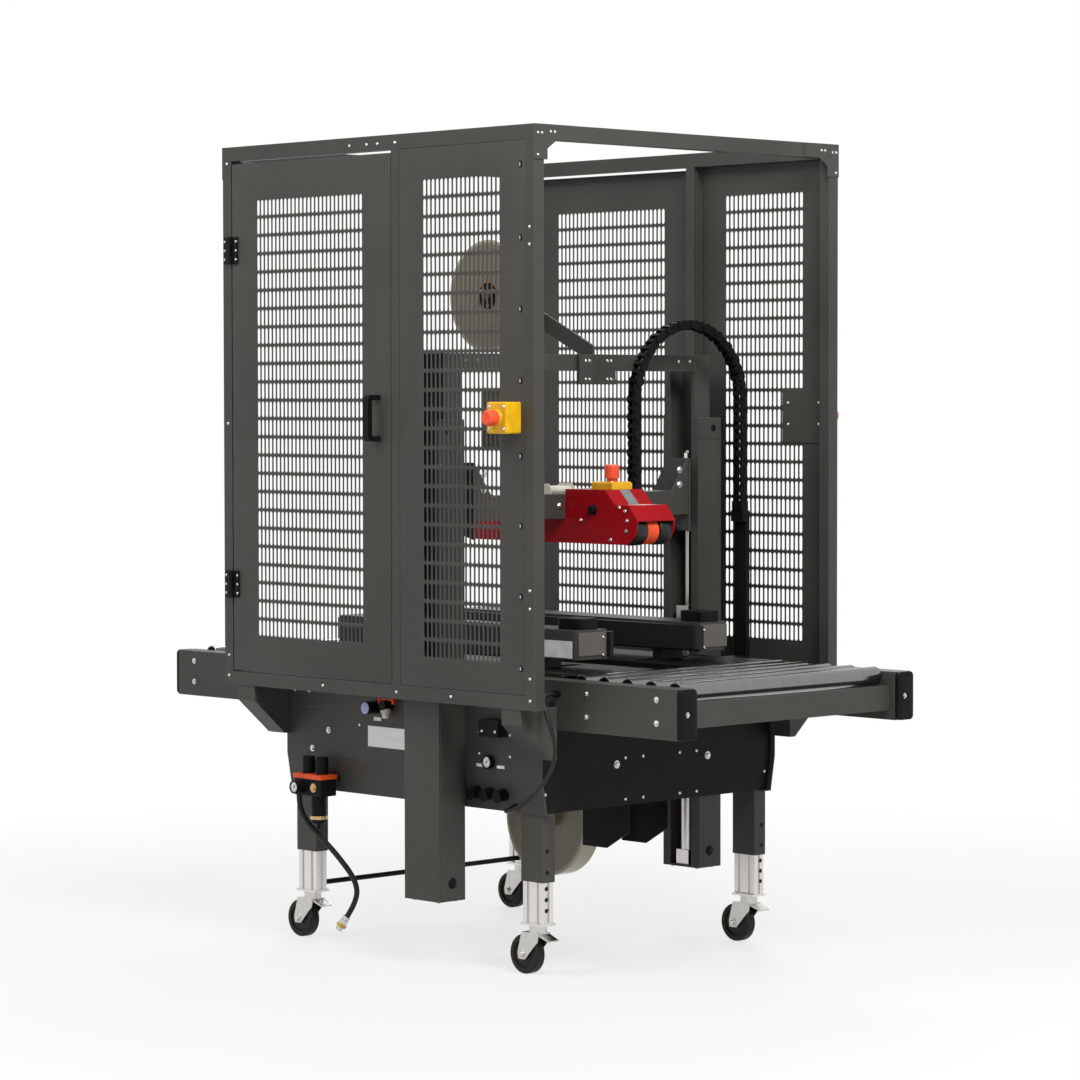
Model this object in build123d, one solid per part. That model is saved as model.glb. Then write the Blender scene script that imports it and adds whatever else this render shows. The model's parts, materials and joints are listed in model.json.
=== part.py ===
from build123d import *
import math
import os

# Frame of the model: millimetres, +Z up, +X towards the exit end of the conveyor,
# -Y the side with the near door, origin on the floor under the middle of the machine.

# Guard enclosure
enclosure_length = 1216
enclosure_width = 1126
enclosure_bottom = 694
enclosure_top = 2144
post_width = 34
frame_depth = 34
top_rail_height = 38
bottom_rail_height = 36
mid_post_width = 30
mid_post_x = 92
corner_plate_thickness = 3
corner_plate_reach = 133
corner_plate_drop = 87
corner_plate_arm = 44

# Sheet-metal doors and fixed panels, each a pan with turned-in edges
sheet_thickness = 2
pan_depth = 25
seat_gap = 0.3
door_side_gap = 3
door_top_gap = 8
door_bottom_gap = 3
slot_row_pitch = 49
slot_row_web = 7
slot_web_width = 8
door_window_low_x = -466
door_window_high_x = -35
door_window_low_z = 830
door_window_rows = 24
door_window_columns = 4
panel_window_low_x = 200
panel_window_high_x = 483
panel_window_low_z = 807
panel_window_rows = 25
panel_window_columns = 3

# Door hinges and pull handles
hinge_height = 72
hinge_leaf_width = 28
hinge_leaf_thickness = 4.5
hinge_knuckle_radius = 6
hinge_pin_radius = 3
hinge_pin_offset = 8
hinge_web_start = 2.5
hinge_web_reach = 8
hinge_web_depth = 2
hinge_centres_z = (966, 1866)
pin_running_clearance = 0.05
handle_length = 120
handle_reach = 42
handle_width = 22
handle_bar = 13
handle_centre_z = 1417
handle_centre_x = 23

# Emergency stops
stop_box_width = 76
stop_box_height = 79
stop_box_depth = 48
stop_box_centre_x = 522
stop_box_centre_z = 1420
stop_button_radius = 20
stop_button_height = 36
stop_collar_radius = 14
stop_collar_height = 9
stop_button_travel_gap = 0.3
stop_plate_width = 157
stop_plate_height = 148
stop_plate_thickness = 3

# Conveyor bed
rail_half_length = 973
rail_outer_y = 435
rail_width = 60
rail_height = 125
rail_bottom = 636
rail_wall = 3
end_cap_thickness = 12
end_cap_corner = 12
end_beam_inset = 18
end_beam_depth = 28
end_beam_bottom = 661
end_beam_height = 63
roller_radius = 25
roller_end_inset = 67
roller_pitch = 82
rollers_per_end = 5
roller_rise = 11
roller_end_gap = 3
roller_axle_radius = 6
deck_roller_gap = 8
deck_rise = 9
deck_thickness = 3
deck_flange = 60
deck_slot_width = 44
deck_slot_inner_y = 108
deck_slot_outer_y = 370

# Bed body below the rails
bed_half_length = 500
bed_sheet = 3
bed_fold_z = 507
bed_bottom = 413
bed_bottom_y = 419
bed_lip = 25

# Legs and casters
leg_x = 443
leg_y = 394
sleeve_length_x = 80
sleeve_width_y = 42
sleeve_wall = 3
sleeve_bottom = 240
sleeve_top = 600
leg_fit_gap = 0.3
leg_lip_gap = 2
inner_leg_top = 420
inner_leg_groove = 8
inner_leg_groove_depth = 5
foot_plate_bottom = 128
foot_plate_thickness = 6
foot_plate_length = 76
foot_plate_width = 52
caster_pin_radius = 8
caster_race_radius = 23
caster_wheel_radius = 51
caster_wheel_width = 32
caster_trail = 39
caster_fork_sheet = 3
caster_fork_gap = 2.5
caster_axle_radius = 5
caster_crown_tail = 16
caster_crown_rise = 7.5
caster_cheek_toe = 12
caster_axle_end = 4
caster_pedal_reach = 34
caster_pedal_drop = 16
caster_pedal_root = 6
caster_wheel_round = 7
caster_rim = 16
caster_hub_radius = 15
caster_dish = 4
tie_bar_radius = 7
tie_bar_z = 148

# Lift columns with their guide channels, top crossbeam and tape roll bracket
column_low_x = 82
column_width = 132
column_depth = 91
column_bottom = 174
column_top = 1414
column_foot = 6
channel_width = 104
channel_depth = 60
channel_wall = 6
channel_mouth = 80
channel_top = 1584
crossbeam_width = 40
crossbeam_height = 44
crossbeam_high_x = 200
roll_radius = 152
roll_width = 60
roll_core_radius = 38
roll_shaft_radius = 12
upper_roll_x = -131
upper_roll_z = 1745
lower_roll_x = 92
lower_roll_z = 339
roll_arm_thickness = 6
roll_arm_width = 46
roll_bracket_drop = 80
roll_bracket_low_y = -17
roll_bracket_high_y = 118
roll_shaft_end = 12
roll_recess = 8

# Lift cylinders in the columns, their rods fixed to the guide blocks
cylinder_y = 465
cylinder_radius = 20
cylinder_cap_width = 46
cylinder_foot_height = 40
cylinder_head_height = 35
cylinder_top = 895
cylinder_bore_end = 12
lift_rod_radius = 8
lift_rod_bottom = 640
lift_travel_down = 190
lift_nut_radius = 12
lift_nut_height = 14

# Upper taping head on its lifting carriage
head_bar_low_x = 141
head_bar_width = 70
head_bar_bottom = 1150
head_bar_height = 65
carriage_plate_y = 398
carriage_plate_thickness = 6
carriage_plate_low_x = 72
carriage_plate_bottom = 1102
carriage_plate_top = 1302
carriage_plate_lean = 59
carriage_plate_heel = 40
carriage_plate_overhang = 4
carriage_rib_length = 62
carriage_neck_gap = 5
carriage_neck_rise = 45
carriage_neck_drop = 20
guide_block_height = 200
guide_side_gap = 0.3
guide_back_gap = 5
head_half_width = 70
head_sheet = 3
head_rear_x = -150
head_bottom = 1086
head_nose_radius = 50
head_nose_x = 427
head_roof_z = 1228
head_roof_front_x = 360
head_step_z = 1189
head_step_rear_x = 398
head_step_front_x = 448
head_lip_x = 479
head_lip_z = 1151
head_roller_radius = 38
head_roller_x = 437
head_roller_z = 1122
head_roller_groove = 2
head_centre_roller_radius = 36
head_centre_roller_width = 40
head_roller_shaft_radius = 5
head_stop_x = 315
head_stop_height = 20
head_core_inset = 60
head_core_rise = 12
head_lip_opening = 5

# Guide rollers for the tape, on two plates behind the head's cross bar
guide_roller_radius = 11
guide_roller_half = 42
guide_roller_places = (80, 112)
guide_roller_z = 1222
guide_plate_thickness = 3
guide_plate_margin = 18

# Side belt drives
drive_half_length = 470
drive_width = 106
drive_bottom = 798
drive_height = 76
drive_corner = 18
belt_inner_y = 150
belt_thickness = 24
belt_height = 63
belt_half_length = 484
drive_cover_low_x = 372
drive_cover_length = 92
drive_cover_width = 72
drive_cover_height = 29
slide_shaft_x = 300
slide_shaft_radius = 12
slide_shaft_z = 735
slide_foot_width = 34
slide_foot_length = 80

# Lower taping head, hung in the middle of the bed
lower_head_half_width = 75
lower_head_sheet = 4
lower_head_rear_x = -230
lower_head_front_x = 450
lower_head_belly_z = 440
lower_head_tail_low_x = 281
lower_head_tail_z = 290
lower_head_toe_z = 337
lower_head_toe_length = 80
lower_head_spacer_length = 30
lower_head_spacer_inset = 10
lower_head_spacer_drop = (90, 30)

# Enclosure brackets on the bed
bracket_x = 520
bracket_width = 69
bracket_face_height = 41
bracket_root_z = 560
bracket_face_setback = 3
bracket_foot = 20

# Energy chain: fixed loop across the machine, from beside the head to the far column
chain_x = 300
chain_width = 34
chain_height = 26
chain_inner_y = 100
chain_outer_y = 512
chain_apex_z = 1664
chain_inner_end_z = 1216
chain_outer_end_z = 1160
chain_post_width = 46
chain_post_depth = 12
chain_post_head = 30
chain_foot_height = 34
chain_clearance = 5

# Air preparation unit on the near bed side
air_x = -335
air_y = -475
air_width = 110
air_depth = 57
air_body_bottom = 405
air_body_height = 45
air_band_height = 12
air_knob_radius = 17
air_knob_height = 46
air_bowl_radius = 21
air_bowl_height = 76
air_bracket_thickness = 4
air_elbow_radius = 10
air_elbow_x = -403
air_elbow_bottom = 410
air_elbow_top = 437
hose_radius = 7.5
coupling_radius = 11
coupling_length = 44
coupling_ring_radius = 14
coupling_ring_length = 12

# Centre line of the supply hose from the elbow to its coupling
hose_route = [
    (-403, -475, 410),
    (-403, -475, 368),
    (-387, -463, 327),
    (-352, -437, 282),
    (-318, -411, 236),
    (-278, -381, 170),
    (-275, -379, 117),
    (-298, -396, 73),
]
gauge_radius = 17
gauge_depth = 22
panel_gauge_x = 310
panel_gauge_z = 538
panel_gauge_depth = 12

# Small fittings on the near bed side
flow_knob_radius = 16
flow_knob_length = 30
flow_knob_places = (254, 304, 354)
flow_knob_z = 457
limit_box_x = (300, 372)
limit_box_z = (606, 650)
limit_box_depth = 32
valve_x = -130
valve_z = 651
valve_radius = 17
valve_length = 42
inlet_x = -72
inlet_z = 661
inlet_radius = 13
inlet_length = 34

# Cable from the rail down round the bracket and up into the bed
cable_radius = 5
gland_radius = 9
gland_length = 12
lower_gland_x = 392
lower_gland_z = 428
cable_route = [
    (560, -447, 728),
    (560, -481, 728),
    (577, -503, 709),
    (594, -506, 675),
    (606, -500, 636),
    (608, -491, 594),
    (592, -484, 553),
    (564, -479, 517),
    (530, -476, 485),
    (494, -475, 459),
    (459, -477, 437),
    (432, -482, 425),
    (405, -473, 421),
    (392, -453.11, 422.63),
    (392, -433.4, 425.99),
]


def block(x, y, z):
    """Box from its three ranges."""
    size = Box(x[1] - x[0], y[1] - y[0], z[1] - z[0])
    return Pos((x[0] + x[1]) / 2, (y[0] + y[1]) / 2, (z[0] + z[1]) / 2) * size


def rod(radius, start, end):
    """Round bar between two points that differ along one axis."""
    first = Vector(*start)
    span = Vector(*end) - first
    plane = Plane(origin=first, z_dir=span.normalized())
    return plane * Cylinder(radius, span.length, align=(Align.CENTER, Align.CENTER, Align.MIN))


def profile_xz(points, y):
    """Plate with an outline in X and Z, between two values of Y."""
    wire = Polyline(*[(px, y[0], pz) for px, pz in points], close=True)
    return extrude(make_face(wire), amount=y[1] - y[0], dir=(0, 1, 0))


def profile_yz(points, x):
    """Plate with an outline in Y and Z, between two values of X."""
    wire = Polyline(*[(x[0], py, pz) for py, pz in points], close=True)
    return extrude(make_face(wire), amount=x[1] - x[0], dir=(1, 0, 0))


def far(shape):
    """The same piece on the other side of the machine."""
    return mirror(shape, about=Plane.XZ)


def infeed(shape):
    """The same piece at the other end of the machine."""
    return mirror(shape, about=Plane.YZ)


def both_sides(shape):
    return [shape, far(shape)]


def four_corners(shape):
    return [shape, far(shape), infeed(shape), infeed(far(shape))]


# Enclosure limits that the doors, panels and beams share
near_face_y = -enclosure_width / 2
frame_inner_y = near_face_y + frame_depth
end_face_x = enclosure_length / 2
post_inner_x = end_face_x - post_width
opening_bottom = enclosure_bottom + bottom_rail_height
opening_top = enclosure_top - top_rail_height
mid_post_low_x = mid_post_x - mid_post_width / 2
mid_post_high_x = mid_post_x + mid_post_width / 2


def side_frame():
    """Two corner posts, a middle post and two rails, welded in one plane."""
    outer = block((-end_face_x, end_face_x), (near_face_y, frame_inner_y),
                  (enclosure_bottom, enclosure_top))
    reach = (near_face_y - 1, frame_inner_y + 1)
    doorway = block((-post_inner_x, mid_post_low_x), reach, (opening_bottom, opening_top))
    panel_bay = block((mid_post_high_x, post_inner_x), reach, (opening_bottom, opening_top))
    return outer - doorway - panel_bay


def corner_plate():
    """Chamfered joint plate on the exit face, at the near top corner."""
    inner_y = near_face_y + corner_plate_reach
    leg_y_edge = near_face_y + corner_plate_arm
    low_z = enclosure_top - corner_plate_drop
    beam_z = enclosure_top - top_rail_height
    chamfer = corner_plate_arm / 2
    outline = [
        (near_face_y, enclosure_top),
        (inner_y, enclosure_top),
        (inner_y, beam_z),
        (leg_y_edge + 1.5 * chamfer, beam_z),
        (leg_y_edge, beam_z - chamfer),
        (leg_y_edge, low_z),
        (near_face_y, low_z),
    ]
    return profile_yz(outline, (end_face_x, end_face_x + corner_plate_thickness))


def top_beam():
    """Beam across the exit end with its two corner plates."""
    beam = block((post_inner_x, end_face_x), (frame_inner_y, -frame_inner_y),
                 (enclosure_top - top_rail_height, enclosure_top))
    plate = corner_plate()
    return beam + plate + far(plate)


def slotted_pan(x, z, window_x, window_low_z, rows, columns):
    """Sheet with turned-in edges and a window of slots in rows."""
    outer = block(x, (near_face_y, near_face_y + pan_depth), z)
    front = outer.faces().sort_by(Axis.Y)[0]
    outer = fillet(front.edges(), sheet_thickness + 1)
    inner_x = (x[0] + sheet_thickness, x[1] - sheet_thickness)
    inner_z = (z[0] + sheet_thickness, z[1] - sheet_thickness)
    inner_y = (near_face_y + sheet_thickness, near_face_y + pan_depth + 1)
    pan = outer - block(inner_x, inner_y, inner_z)
    pitch_x = (window_x[1] - window_x[0] + slot_web_width) / columns
    slot = Box(pitch_x - slot_web_width, 4 * sheet_thickness, slot_row_pitch - slot_row_web)
    slots = []
    for row in range(rows):
        for column in range(columns):
            centre_x = window_x[0] + (column + 0.5) * pitch_x - slot_web_width / 2
            centre_z = window_low_z + (row + 0.5) * slot_row_pitch - slot_row_web / 2
            slots.append(Pos(centre_x, near_face_y, centre_z) * slot)
    return pan - slots


def door():
    return slotted_pan((-post_inner_x + door_side_gap, mid_post_low_x - door_side_gap),
                       (opening_bottom + door_bottom_gap, opening_top - door_top_gap),
                       (door_window_low_x, door_window_high_x), door_window_low_z,
                       door_window_rows, door_window_columns)


def fixed_panel():
    """Bolted panel with the plate behind it that carries the emergency stop."""
    pan = slotted_pan((mid_post_high_x, post_inner_x), (opening_bottom, opening_top),
                      (panel_window_low_x, panel_window_high_x), panel_window_low_z,
                      panel_window_rows, panel_window_columns)
    plate_high_x = post_inner_x - 2 * sheet_thickness
    inside = near_face_y + sheet_thickness + seat_gap
    plate = block((plate_high_x - stop_plate_width, plate_high_x),
                  (inside, inside + stop_plate_thickness),
                  (stop_box_centre_z - stop_plate_height / 2,
                   stop_box_centre_z + stop_plate_height / 2))
    return [pan, plate]


# Hinge pin line, just outside the joint between the post and the door
hinge_x = -post_inner_x + door_side_gap / 2
hinge_y = near_face_y - hinge_pin_offset
middle_knuckle = hinge_height / 3
knuckle_gap = 0.3


def hinge_leaf(direction, centre_z):
    """Flat leaf beside the pin, on the post (-1) or on the door (+1)."""
    root = hinge_x + direction * (hinge_knuckle_radius + 1)
    tip = hinge_x + direction * hinge_leaf_width
    return block(sorted((root, tip)), (near_face_y - hinge_leaf_thickness, near_face_y),
                 (centre_z - hinge_height / 2, centre_z + hinge_height / 2))


def hinge_knuckle(direction, z):
    """Knuckle between two heights, with the web that joins it to its leaf."""
    root = hinge_x + direction * hinge_web_start
    tip = hinge_x + direction * hinge_web_reach
    web = block(sorted((root, tip)), (hinge_y - hinge_web_depth, near_face_y), z)
    return web + rod(hinge_knuckle_radius, (hinge_x, hinge_y, z[0]), (hinge_x, hinge_y, z[1]))


def post_hinge(centre_z):
    """Leaf on the post with the middle knuckle and the pin."""
    pin = rod(hinge_pin_radius, (hinge_x, hinge_y, centre_z - hinge_height / 2),
              (hinge_x, hinge_y, centre_z + hinge_height / 2))
    middle = (centre_z - middle_knuckle / 2, centre_z + middle_knuckle / 2)
    return hinge_leaf(-1, centre_z) + hinge_knuckle(-1, middle) + pin


def door_hinge(centre_z):
    """Leaf on the door with the two outer knuckles, bored for the pin."""
    low = centre_z - hinge_height / 2
    high = centre_z + hinge_height / 2
    inner = middle_knuckle / 2 + knuckle_gap
    leaf = hinge_leaf(1, centre_z)
    leaf += hinge_knuckle(1, (low, centre_z - inner))
    leaf += hinge_knuckle(1, (centre_z + inner, high))
    return leaf - rod(hinge_pin_radius + pin_running_clearance,
                      (hinge_x, hinge_y, low - 1), (hinge_x, hinge_y, high + 1))


def door_handle():
    """Bow-shaped pull on two feet."""
    low_z = handle_centre_z - handle_length / 2
    high_z = handle_centre_z + handle_length / 2
    outer_y = near_face_y - handle_reach
    x = (handle_centre_x - handle_width / 2, handle_centre_x + handle_width / 2)
    bow = block(x, (outer_y, near_face_y), (low_z, high_z))
    corners = bow.faces().sort_by(Axis.Y)[0].edges().filter_by(Axis.X)
    bow = fillet(corners, handle_bar)
    grip = block((x[0] - 1, x[1] + 1), (outer_y + handle_bar, near_face_y + 1),
                 (low_z + handle_bar, high_z - handle_bar))
    grip_corners = grip.faces().sort_by(Axis.Y)[0].edges().filter_by(Axis.X)
    return bow - fillet(grip_corners, handle_bar / 2)


def door_fittings():
    return [door_hinge(z) for z in hinge_centres_z] + [door_handle()]


def stop_box():
    """Yellow box on the fixed panel, its front edges rounded."""
    x = (stop_box_centre_x - stop_box_width / 2, stop_box_centre_x + stop_box_width / 2)
    z = (stop_box_centre_z - stop_box_height / 2, stop_box_centre_z + stop_box_height / 2)
    box = block(x, (near_face_y - stop_box_depth, near_face_y), z)
    box = fillet(box.edges().filter_by(Axis.Y), 6)
    return chamfer(box.faces().sort_by(Axis.Y)[0].edges(), 4)


def stop_button():
    """Mushroom button on its collar, along -Y from the front of the box."""
    front_y = near_face_y - stop_box_depth
    centre = (stop_box_centre_x, stop_box_centre_z)
    collar_end = front_y - stop_collar_height
    collar = rod(stop_collar_radius, (centre[0], front_y, centre[1]),
                 (centre[0], collar_end, centre[1]))
    head = rod(stop_button_radius, (centre[0], collar_end, centre[1]),
               (centre[0], front_y - stop_button_height, centre[1]))
    head = fillet(head.edges().sort_by(Axis.Y)[0], 6)
    return collar + head


# Conveyor levels
rail_top = rail_bottom + rail_height
rail_inner_y = rail_outer_y - rail_width
roller_axis_z = rail_top + roller_rise - roller_radius
deck_top = rail_top + deck_rise
end_beam_outer_x = rail_half_length - end_beam_inset
roller_last_x = rail_half_length - roller_end_inset
roller_first_x = roller_last_x - (rollers_per_end - 1) * roller_pitch
deck_half_length = roller_first_x - roller_radius - deck_roller_gap


def side_rail():
    """Rectangular tube, open at its ends."""
    x = (-rail_half_length, rail_half_length)
    outer = block(x, (-rail_outer_y, -rail_inner_y), (rail_bottom, rail_top))
    inner = block((x[0] - 1, x[1] + 1), (-rail_outer_y + rail_wall, -rail_inner_y - rail_wall),
                  (rail_bottom + rail_wall, rail_top - rail_wall))
    return outer - inner


def end_cap():
    """Moulded cap on the exit end of a rail, with a plug inside the tube."""
    plate = block((rail_half_length, rail_half_length + end_cap_thickness),
                  (-rail_outer_y, -rail_inner_y), (rail_bottom, rail_top))
    plate = fillet(plate.edges().filter_by(Axis.X), end_cap_corner)
    plug_wall = rail_wall + leg_fit_gap
    plug = block((rail_half_length - 2 * end_cap_thickness, rail_half_length + 1),
                 (-rail_outer_y + plug_wall, -rail_inner_y - plug_wall),
                 (rail_bottom + plug_wall, rail_top - plug_wall))
    return plate + plug


def end_cross_beam():
    """Channel between the rails, open towards the middle of the machine."""
    y = (-rail_inner_y, rail_inner_y)
    z = (end_beam_bottom, end_beam_bottom + end_beam_height)
    outer = block((end_beam_outer_x - end_beam_depth, end_beam_outer_x), y, z)
    hollow = block((end_beam_outer_x - end_beam_depth - 1, end_beam_outer_x - rail_wall), y,
                   (z[0] + rail_wall, z[1] - rail_wall))
    return outer - hollow


def roller(x):
    """Conveyor roller with its axle ends against the rails."""
    shell_y = rail_inner_y - roller_end_gap
    tube = rod(roller_radius, (x, -shell_y, roller_axis_z), (x, shell_y, roller_axis_z))
    axle = rod(roller_axle_radius, (x, -rail_inner_y, roller_axis_z),
               (x, rail_inner_y, roller_axis_z))
    return tube + axle


def exit_rollers():
    return [roller(roller_first_x + i * roller_pitch) for i in range(rollers_per_end)]


def deck_plate():
    """Bed plate between the near rail and the taping head, slotted for the drive feet."""
    inner_y = -lower_head_half_width
    y = (-rail_inner_y, inner_y)
    x = (-deck_half_length, deck_half_length)
    plate = block(x, y, (deck_top - deck_thickness, deck_top))
    flange = block(x, (inner_y - deck_thickness, inner_y),
                   (deck_top - deck_thickness - deck_flange, deck_top))
    for side in (-1, 1):
        slot_x = side * slide_shaft_x
        plate -= block((slot_x - deck_slot_width / 2, slot_x + deck_slot_width / 2),
                       (-deck_slot_outer_y, -deck_slot_inner_y),
                       (deck_top - 2 * deck_thickness, deck_top + 1))
    return plate + flange


def bed_side():
    """Folded side sheet: upright, then leaning in to a turned lip."""
    outer = [
        (-rail_outer_y, rail_bottom),
        (-rail_outer_y, bed_fold_z),
        (-bed_bottom_y, bed_bottom),
        (-bed_bottom_y + bed_lip, bed_bottom),
        (-bed_bottom_y + bed_lip, bed_bottom + bed_sheet),
        (-bed_bottom_y + bed_sheet, bed_bottom + bed_sheet),
        (-rail_outer_y + bed_sheet, bed_fold_z),
        (-rail_outer_y + bed_sheet, rail_bottom),
    ]
    sheet = profile_yz(outer, (-bed_half_length, bed_half_length))
    for side in (-1, 1):
        reach = sleeve_length_x / 2 + leg_lip_gap
        sheet -= block((side * leg_x - reach, side * leg_x + reach),
                       (-leg_y - sleeve_width_y / 2 - leg_fit_gap, -bed_bottom_y + bed_lip + 1),
                       (bed_bottom - 1, bed_bottom + bed_sheet + 1))
    return sheet


def bed_end():
    """End sheet between the two side sheets."""
    top_y = rail_outer_y - bed_sheet
    low_y = bed_bottom_y - bed_sheet
    outline = [
        (-top_y, rail_bottom),
        (-top_y, bed_fold_z),
        (-low_y, bed_bottom + bed_sheet),
        (low_y, bed_bottom + bed_sheet),
        (top_y, bed_fold_z),
        (top_y, rail_bottom),
    ]
    sleeve_face = leg_x + sleeve_length_x / 2
    return profile_yz(outline, (sleeve_face, sleeve_face + bed_sheet))


def leg_sleeve():
    """Outer leg: rectangular tube, open at the bottom."""
    x = (leg_x - sleeve_length_x / 2, leg_x + sleeve_length_x / 2)
    y = (-leg_y - sleeve_width_y / 2, -leg_y + sleeve_width_y / 2)
    outer = block(x, y, (sleeve_bottom, sleeve_top))
    inner = block((x[0] + sleeve_wall, x[1] - sleeve_wall), (y[0] + sleeve_wall, y[1] - sleeve_wall),
                  (sleeve_bottom - 1, sleeve_top - sleeve_wall))
    return outer - inner


def inner_leg():
    """Grooved aluminium leg that slides in the sleeve, on its foot plate."""
    half_x = sleeve_length_x / 2 - sleeve_wall - leg_fit_gap
    half_y = sleeve_width_y / 2 - sleeve_wall - leg_fit_gap
    bottom = foot_plate_bottom + foot_plate_thickness
    bar = block((leg_x - half_x, leg_x + half_x), (-leg_y - half_y, -leg_y + half_y),
                (bottom, inner_leg_top))
    groove = inner_leg_groove / 2
    for side in (-1, 1):
        edge = leg_x + side * half_x
        bar -= block((edge - inner_leg_groove_depth, edge + inner_leg_groove_depth),
                     (-leg_y - groove, -leg_y + groove), (bottom - 1, inner_leg_top + 1))
        for offset in (-half_x / 2, half_x / 2):
            face_y = -leg_y + side * half_y
            bar -= block((leg_x + offset - groove, leg_x + offset + groove),
                         (face_y - inner_leg_groove_depth, face_y + inner_leg_groove_depth),
                         (bottom - 1, inner_leg_top + 1))
    plate = block((leg_x - foot_plate_length / 2, leg_x + foot_plate_length / 2),
                  (-leg_y - foot_plate_width / 2, -leg_y + foot_plate_width / 2),
                  (foot_plate_bottom, bottom))
    bore = rod(caster_pin_radius + pin_running_clearance,
               (leg_x, -leg_y, foot_plate_bottom - 1), (leg_x, -leg_y, bottom + inner_leg_groove))
    return bar + plate - bore


def tie_bar():
    """Round bar between the two infeed legs."""
    half_y = sleeve_width_y / 2 - sleeve_wall - leg_fit_gap
    end_y = leg_y - half_y
    return rod(tie_bar_radius, (-leg_x, -end_y, tie_bar_z), (-leg_x, end_y, tie_bar_z))


def caster_fork(x, y):
    """Swivel head, two fork cheeks, axle and brake pedal."""
    axle_x = x - caster_trail
    axle_z = caster_wheel_radius
    cheek_inner = caster_wheel_width / 2 + caster_fork_gap
    cheek_outer = cheek_inner + caster_fork_sheet
    crown_z = 2 * caster_wheel_radius + caster_crown_rise
    low_x = x - caster_race_radius - caster_crown_tail
    high_x = x + caster_race_radius
    race = rod(caster_race_radius, (x, y, crown_z), (x, y, foot_plate_bottom - leg_fit_gap))
    pin = rod(caster_pin_radius, (x, y, crown_z), (x, y, foot_plate_bottom + foot_plate_thickness))
    crown = block((low_x, high_x), (y - cheek_outer, y + cheek_outer),
                  (crown_z - caster_fork_sheet, crown_z))
    fork = race + pin + crown
    toe = caster_cheek_toe
    cheek = [
        (low_x, crown_z),
        (high_x, crown_z),
        (high_x - toe / 2, crown_z - 2 * toe),
        (axle_x + toe, axle_z - toe),
        (axle_x - toe, axle_z - toe),
        (axle_x - 1.2 * toe, axle_z + toe / 2),
    ]
    for side in (-1, 1):
        fork += profile_xz(cheek, sorted((y + side * cheek_inner, y + side * cheek_outer)))
    fork += rod(caster_axle_radius, (axle_x, y - cheek_outer - caster_axle_end, axle_z),
                (axle_x, y + cheek_outer + caster_axle_end, axle_z))
    root_x = high_x - caster_pedal_root
    tip_x = high_x + caster_pedal_reach
    pedal = [
        (root_x, crown_z),
        (tip_x, crown_z - caster_pedal_drop),
        (tip_x, crown_z - caster_pedal_drop - caster_fork_sheet),
        (root_x, crown_z - 2 * caster_fork_sheet),
    ]
    return fork + profile_xz(pedal, (y - cheek_inner, y + cheek_inner))


def caster_wheel(x, y):
    """Tyred wheel with dished faces, bored for its axle."""
    half = caster_wheel_width / 2

    def at(offset):
        return (x - caster_trail, y + offset, caster_wheel_radius)

    wheel = rod(caster_wheel_radius, at(-half), at(half))
    wheel = fillet(wheel.edges(), caster_wheel_round)
    dish = rod(caster_wheel_radius - caster_rim, at(half - caster_dish), at(half + 1))
    dish -= rod(caster_hub_radius, at(half - caster_dish - 1), at(half + 2))
    wheel -= dish
    wheel -= mirror(dish, about=Plane.XZ.offset(-y))
    return wheel - rod(caster_axle_radius + pin_running_clearance, at(-half - 1), at(half + 1))


# Lift column limits
column_high_x = column_low_x + column_width
column_inner_y = rail_outer_y
column_centre_x = column_low_x + column_width / 2
column_outer_y = column_inner_y + column_depth


def column():
    """Box column around a lipped guide channel that stands out of its top."""
    centre = column_centre_x
    box = block((column_low_x, column_high_x), (-column_outer_y, -column_inner_y),
                (column_bottom, column_top))
    channel = block((centre - channel_width / 2, centre + channel_width / 2),
                    (-column_inner_y - channel_depth, -column_inner_y),
                    (column_bottom, channel_top))
    half = channel_width / 2 - channel_wall
    floor_z = column_bottom + column_foot
    hollow = block((centre - half, centre + half),
                   (-column_inner_y - channel_depth + channel_wall, -column_inner_y - channel_wall),
                   (floor_z, channel_top + 1))
    mouth = block((centre - channel_mouth / 2, centre + channel_mouth / 2),
                  (-column_inner_y - 2 * channel_wall, -column_inner_y + 1),
                  (floor_z, channel_top + 1))
    return box + channel - hollow - mouth


def column_crossbeam():
    """Beam between the column tops, with its two end plates."""
    low_x = crossbeam_high_x - crossbeam_width
    return block((low_x, crossbeam_high_x), (-column_inner_y, column_inner_y),
                 (channel_top - crossbeam_height, channel_top))


def roll_bracket():
    """Plate on the crossbeam, sloping arm and shaft of the upper roll."""
    arm_y = roll_width / 2 + roll_arm_thickness / 2
    plate_y = (arm_y, arm_y + roll_arm_thickness)
    plate_high_x = crossbeam_high_x + 2 * roll_arm_thickness
    base = block((crossbeam_high_x, plate_high_x), (roll_bracket_low_y, roll_bracket_high_y),
                 (channel_top - roll_bracket_drop, channel_top))
    half = roll_arm_width / 2
    slope = math.atan2(upper_roll_z - channel_top, crossbeam_high_x - upper_roll_x)
    side_x = half * math.sin(slope)
    side_z = half * math.cos(slope)
    arm = profile_xz([
        (upper_roll_x + side_x, upper_roll_z + side_z),
        (plate_high_x, channel_top + half),
        (plate_high_x, channel_top),
        (crossbeam_high_x - crossbeam_width, channel_top),
        (upper_roll_x - side_x, upper_roll_z - side_z),
    ], plate_y)
    boss = rod(half, (upper_roll_x, plate_y[0], upper_roll_z),
               (upper_roll_x, plate_y[1], upper_roll_z))
    shaft = rod(roll_shaft_radius,
                (upper_roll_x, -roll_width / 2 - roll_shaft_end, upper_roll_z),
                (upper_roll_x, plate_y[1], upper_roll_z))
    return base + arm + boss + shaft


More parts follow.
